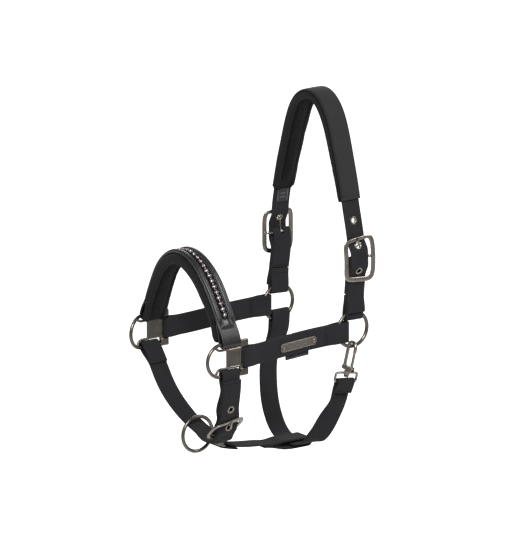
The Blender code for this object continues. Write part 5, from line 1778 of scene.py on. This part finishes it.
# from the off ring, through the jaw strap's loop and up to the snap
THROAT = Run([
    (THROAT_X, RING_Y, RING_Z - RING_R), (182.4, 76.4, -34), (179.2, 79.8, -48),
    (173, 82, -72), (167.6, 76.0, -96), (162.5, 66.0, -116), (157.5, 50.6, -134.5),
    (153.3, 32, -146.8), (150.5, 14, -150.6), (150, 0, -151.0), (150.8, -14, -150.4),
    (152.3, -29, -145.5), (155.2, -45.3, -131.6), (160.6, -57.2, -110), (169.8, -64.0, -88.4),
    (172.6, -66.8, -76.2), tuple(SNAP_END),
], wide=throat_wide)


def throat_strap():
    length = THROAT.length
    path = [(38 - 4 * k, -PITCH) for k in range(4)]
    path += [(20, -PITCH - (R_RING - PITCH) * 0.3), (13, -PITCH - (R_RING - PITCH) * 0.8),
             (6, -R_RING - 0.1)]
    path += arc(-(RING_REACH + 3.8), 0, R_RING + 0.25, 270, 90)
    path.append((6, R_RING + 0.25))
    path += [(11 + 5 * k, R_RING * (1 - ease((k + 1) / 6))) for k in range(5)]
    path += [(dist, 0.0) for dist in steps(40, length - 34, 7)]
    path += [(length - 30 + 5 * k, -R_SNAP * ease((k + 1) / 6)) for k in range(5)]
    path += arc(length, 0, R_SNAP, -90, 90)
    path += [(length - 5, R_SNAP), (length - 9, R_SNAP - 0.1), (length - 14, R_SNAP - 0.45)]
    ribbon("throat_strap", THROAT, path, STRAP_W, STRAP_T, WEBBING)


throat_strap()


# ------------------------------------------------------------ stitching, and dark cords as painted seam shade
def crown_stitching():
    top = COVER_IN + COVER_T
    start, end = COVER_S[0], COVER_S[-1]
    cover = Stitching("crown_cover", DARK_THREAD, radius=0.3)
    for across in (-12.6, 12.6):
        cover.row(along_run(CROWN, across, top - 0.02), start + 3, end - 3)
    for dist in (start + 4.0, end - 4.0):
        cover.row(across_run(CROWN, dist, top - 0.2), -12.4, 12.4, pitch=2.6)
    cover.done()
    pad = Stitching("crown_pad", radius=0.3)
    for across in (-CROWN_SEAM, CROWN_SEAM):
        pad.row(along_run(CROWN, across, -PAD_IN + 1.75, -1), start + 3, end - 3)
    for dist in (start + 3.0, end - 3.0):
        pad.row(across_run(CROWN, dist, -PAD_IN * 0.86, -1), -11.5, 11.5, pitch=2.6)
    pad.done()


def painted_seam_shade(node, run, seam, height, stations, radius):
    """Dark cords along a pad's two seams: painted shade of the seam grooves."""
    shape = Shape()
    for across in (-seam, seam):
        line = [tuple(run.spot(dist, across, height))
                for dist in np.arange(stations[0] + 2, stations[-1] - 2, 2.0)]
        shape.add(*sweep(line, radius, False, 10))
    shape.detail(node + "_piping", node, CHANNEL)


def buckle_strap_stitching():
    """Two rows under each crown buckle and one above each ring loop, on both faces."""
    for side, sign in SIDES:
        rows = []
        for dist in (BUCKLE_S - 41.0, BUCKLE_S - 43.4, RING_S + 20.5):
            dist = CROWN.length - dist if sign > 0 else dist
            rows += [(dist, OUTER + STRAP_FACE, 1), (dist, INNER - STRAP_FACE, -1)]
        cross_stitching(f"{side}_buckle_strap", CROWN, rows, half=9.6)


def cheek_stitching():
    """Rows near both ends."""
    for side, run in CHEEKS.items():
        thread = Stitching(f"{side}_cheek_strap")
        for dist in (13.1, 15.9, run.length - 18.4, run.length - 21.2):
            for face in (1, -1):
                thread.row(across_run(run, dist, face * CHEEK_FACE, face), -11.0, 11.0,
                           pitch=3.2, gap=1.0)
        for dist in (8.7, run.length - 12.5):
            thread.row(across_run(run, dist, CHEEK_FACE), -12.4, 12.4, pitch=2.2, gap=0.05)
        thread.done()


def noseband_stitching():
    def leather_top(extra):
        return lambda dist: nose_height(dist) + NOSE_T / 2 + extra

    thread = Stitching("noseband_overlay", LEATHER_THREAD)
    # (across, height off the leather, distance from each end)
    for across, extra, end in ((11.8, -0.1, 20.0), (5.3, 0.35, NOSE_BEAD_S - 2)):
        for sign in (-1, 1):
            thread.row(along_run(NOSE, sign * across, leather_top(extra)), end,
                       NOSE.length - end, pitch=3.6, gap=1.2)
    for dist in (NOSE_CROSS, NOSE.length - NOSE_CROSS):
        thread.row(across_run(NOSE, dist, leather_top(-0.02)(dist)), -11.6, 11.6,
                   pitch=2.6, gap=0.5)
    thread.done()
    pad = Stitching("noseband_pad", radius=0.3)
    for across in (-NOSE_SEAM, NOSE_SEAM):
        pad.row(along_run(NOSE, across, -(NOSE_PAD_TOP + NOSE_PAD_T - 2.0), -1),
                NOSE_PAD_S[0] + 4, NOSE_PAD_S[-1] - 4)
    pad.done()


def lower_strap_stitching():
    """The chin, jaw and throat straps' rows."""
    cross_stitching("chin_strap", CHIN, [(dist, chin_height(dist) + STRAP_FACE, 1)
                                         for dist in (15.5, 18.3, CHIN_TIP - 3.0)])
    cross_stitching("chin_buckle_strap", CHIN, [(FIT_S - 20.0, INNER - STRAP_FACE, -1)])
    rows = []
    for dist in (19.0, 21.8, JAW.length - 44.0):
        rows += [(dist, STRAP_FACE + (R_LINK * (1 - ease(dist / 20))), 1),
                 (dist, -PITCH - STRAP_FACE, -1)]
    cross_stitching("jaw_strap", JAW, rows)
    rows = [(THROAT.length - 12.0, R_SNAP - 0.25 + STRAP_FACE, 1)]
    rows += [(dist, STRAP_FACE + R_RING * (1 - ease(((dist - 11) / 5 + 1) / 6)), 1)
             for dist in (24.0, 26.8)]
    cross_stitching("throat_strap", THROAT, rows)


def label_lines():
    """Plain woven lines on the two labels."""
    size = Shape()
    face = -(COVER_IN + SIZE_LABEL_T) - 0.04
    for x in (-6.9, 6.9):
        size.strand([CROWN.spot(SIZE_LABEL_S + along, x, face)
                     for along in np.linspace(-6.6, 6.6, 9)], 0.26, 0.5)
    for along in (-2.6, 2.6):
        size.strand([CROWN.spot(SIZE_LABEL_S + along, x, face)
                     for x in np.linspace(-3.4, 3.4, 7)], 0.3, 0.5)
    size.detail("size_label_lines", "size_label", LABEL_MARK)

    tab = Shape()
    lines = [[(x, y) for y in np.linspace(-5.4, -2.0, 6)] for x in (-14.5, 14.5)]
    lines.append([(x, -4.6) for x in np.linspace(-12, 12, 20)])
    for line in lines:
        tab.strand([TAB + CHEEK_ALONG * x + CHEEK_WIDE * y + CHEEK_OUT * 0.62
                    for x, y in line], 0.14, 0.5)
    tab.detail("cheek_tab_lines", "cheek_tab_label", LABEL_MARK)


crown_stitching()
# dark cords along both pads' seams are painted shade of the seam grooves
painted_seam_shade("crown_pad", CROWN, CROWN_SEAM, -PAD_IN + 1.75, COVER_S, 0.5)
painted_seam_shade("noseband_pad", NOSE, NOSE_SEAM, -(NOSE_PAD_TOP + NOSE_PAD_T - 2.1), NOSE_PAD_S, 0.55)
buckle_strap_stitching()
cheek_stitching()
noseband_stitching()
lower_strap_stitching()
label_lines()

# ------------------------------------------------------------ hand everything to the frame
for ob in list(CUTTERS.objects):
    bpy.data.objects.remove(ob, do_unlink=True)
for ob, node in MADE:
    ob.data.transform(ob.matrix_world)
    ob.matrix_world = Matrix.Identity(4)
    if node == "snap_gate_spring":
        # it is attached to no body; its mesh is baked where it stands
        tuple(place(snap(0, -2.0, -24.0)))
        tuple(place(snap(0, -4.4, -21.4)))
        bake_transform(ob)
    else:
        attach(ob, BODY[node])
    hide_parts(node)
for ob, node in DETAILS:
    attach(ob, BODY[node])

# ------------------------------------------------------------ camera, floor and light
scene = bpy.context.scene
CAMERA_DIST = 12.0  # metres
VIEW_SPAN, VIEW_FILL = 550, 0.84  # millimetres in view, and their share of the picture's width


def add_camera():
    turn, rise = math.radians(-36), math.radians(15.2)
    back = Vector((math.sin(turn) * math.cos(rise), -math.cos(turn) * math.cos(rise),
                   math.sin(rise)))
    right = Vector((math.cos(turn), math.sin(turn), 0))
    data = bpy.data.cameras.new("camera")
    ob = bpy.data.objects.new("camera", data)
    scene.collection.objects.link(ob)
    matrix = Matrix((right, back.cross(right), back)).transposed().to_4x4()
    matrix.translation = place((100.0, 0.0, 63.0)) + back * CAMERA_DIST
    ob.matrix_world = matrix
    data.sensor_width, data.sensor_fit, data.clip_end = 36, "AUTO", 60
    data.lens = 36 * CAMERA_DIST / (VIEW_SPAN / VIEW_FILL / 1000)
    scene.camera = ob


def add_floor():
    """A floor that the camera sees as plain white."""
    bpy.ops.mesh.primitive_plane_add(size=60, location=(0, 0, -1.3))
    floor = bpy.context.object
    floor.name = "floor"
    shader = Shader("floor")
    shader.fill(shader.surface, {
        "Base Color": (0.93, 0.93, 0.93, 1),
        "Emission Color": (1, 1, 1, 1),
        "Emission Strength": shader.node("LightPath", {}).outputs["Is Camera Ray"],
        "Roughness": 0.9,
    })
    floor.data.materials.append(shader.material)


def add_world(light, seen):
    """A white world, as bright as light to the scene and as seen to the camera."""
    world = bpy.data.worlds.new("studio")
    scene.world = world
    world.use_nodes = True
    nodes, links = world.node_tree.nodes, world.node_tree.links
    background = nodes["Background"]
    rays = nodes.new("ShaderNodeLightPath")
    mix = nodes.new("ShaderNodeMix")
    mix.data_type = "FLOAT"
    links.new(rays.outputs["Is Camera Ray"], mix.inputs["Factor"])
    mix.inputs["A"].default_value = light
    mix.inputs["B"].default_value = seen
    links.new(mix.outputs["Result"], background.inputs["Strength"])
    background.inputs["Color"].default_value = (1, 1, 1, 1)


def area(name, location, look, size, power):
    light = bpy.data.lights.new(name, "AREA")
    light.shape, light.size, light.energy = "SQUARE", size, power
    ob = bpy.data.objects.new(name, light)
    scene.collection.objects.link(ob)
    ob.location = location
    aim = Vector(look) - Vector(location)
    ob.rotation_euler = aim.to_track_quat("-Z", "Y").to_euler()


add_camera()
add_floor()
add_world(light=0.40, seen=1.0)
area("key", location=(-1.6, -1.9, 1.5), look=(-0.08, 0, -0.2), size=0.9, power=74)
area("far_side", location=(1.3, 2.1, 1.2), look=(-0.1, 0, -0.2), size=1.1, power=19)
area("rim", location=(1.4, -1.2, 1.2), look=(0, 0, -0.1), size=0.8, power=22)
scene.view_settings.view_transform = "Standard"
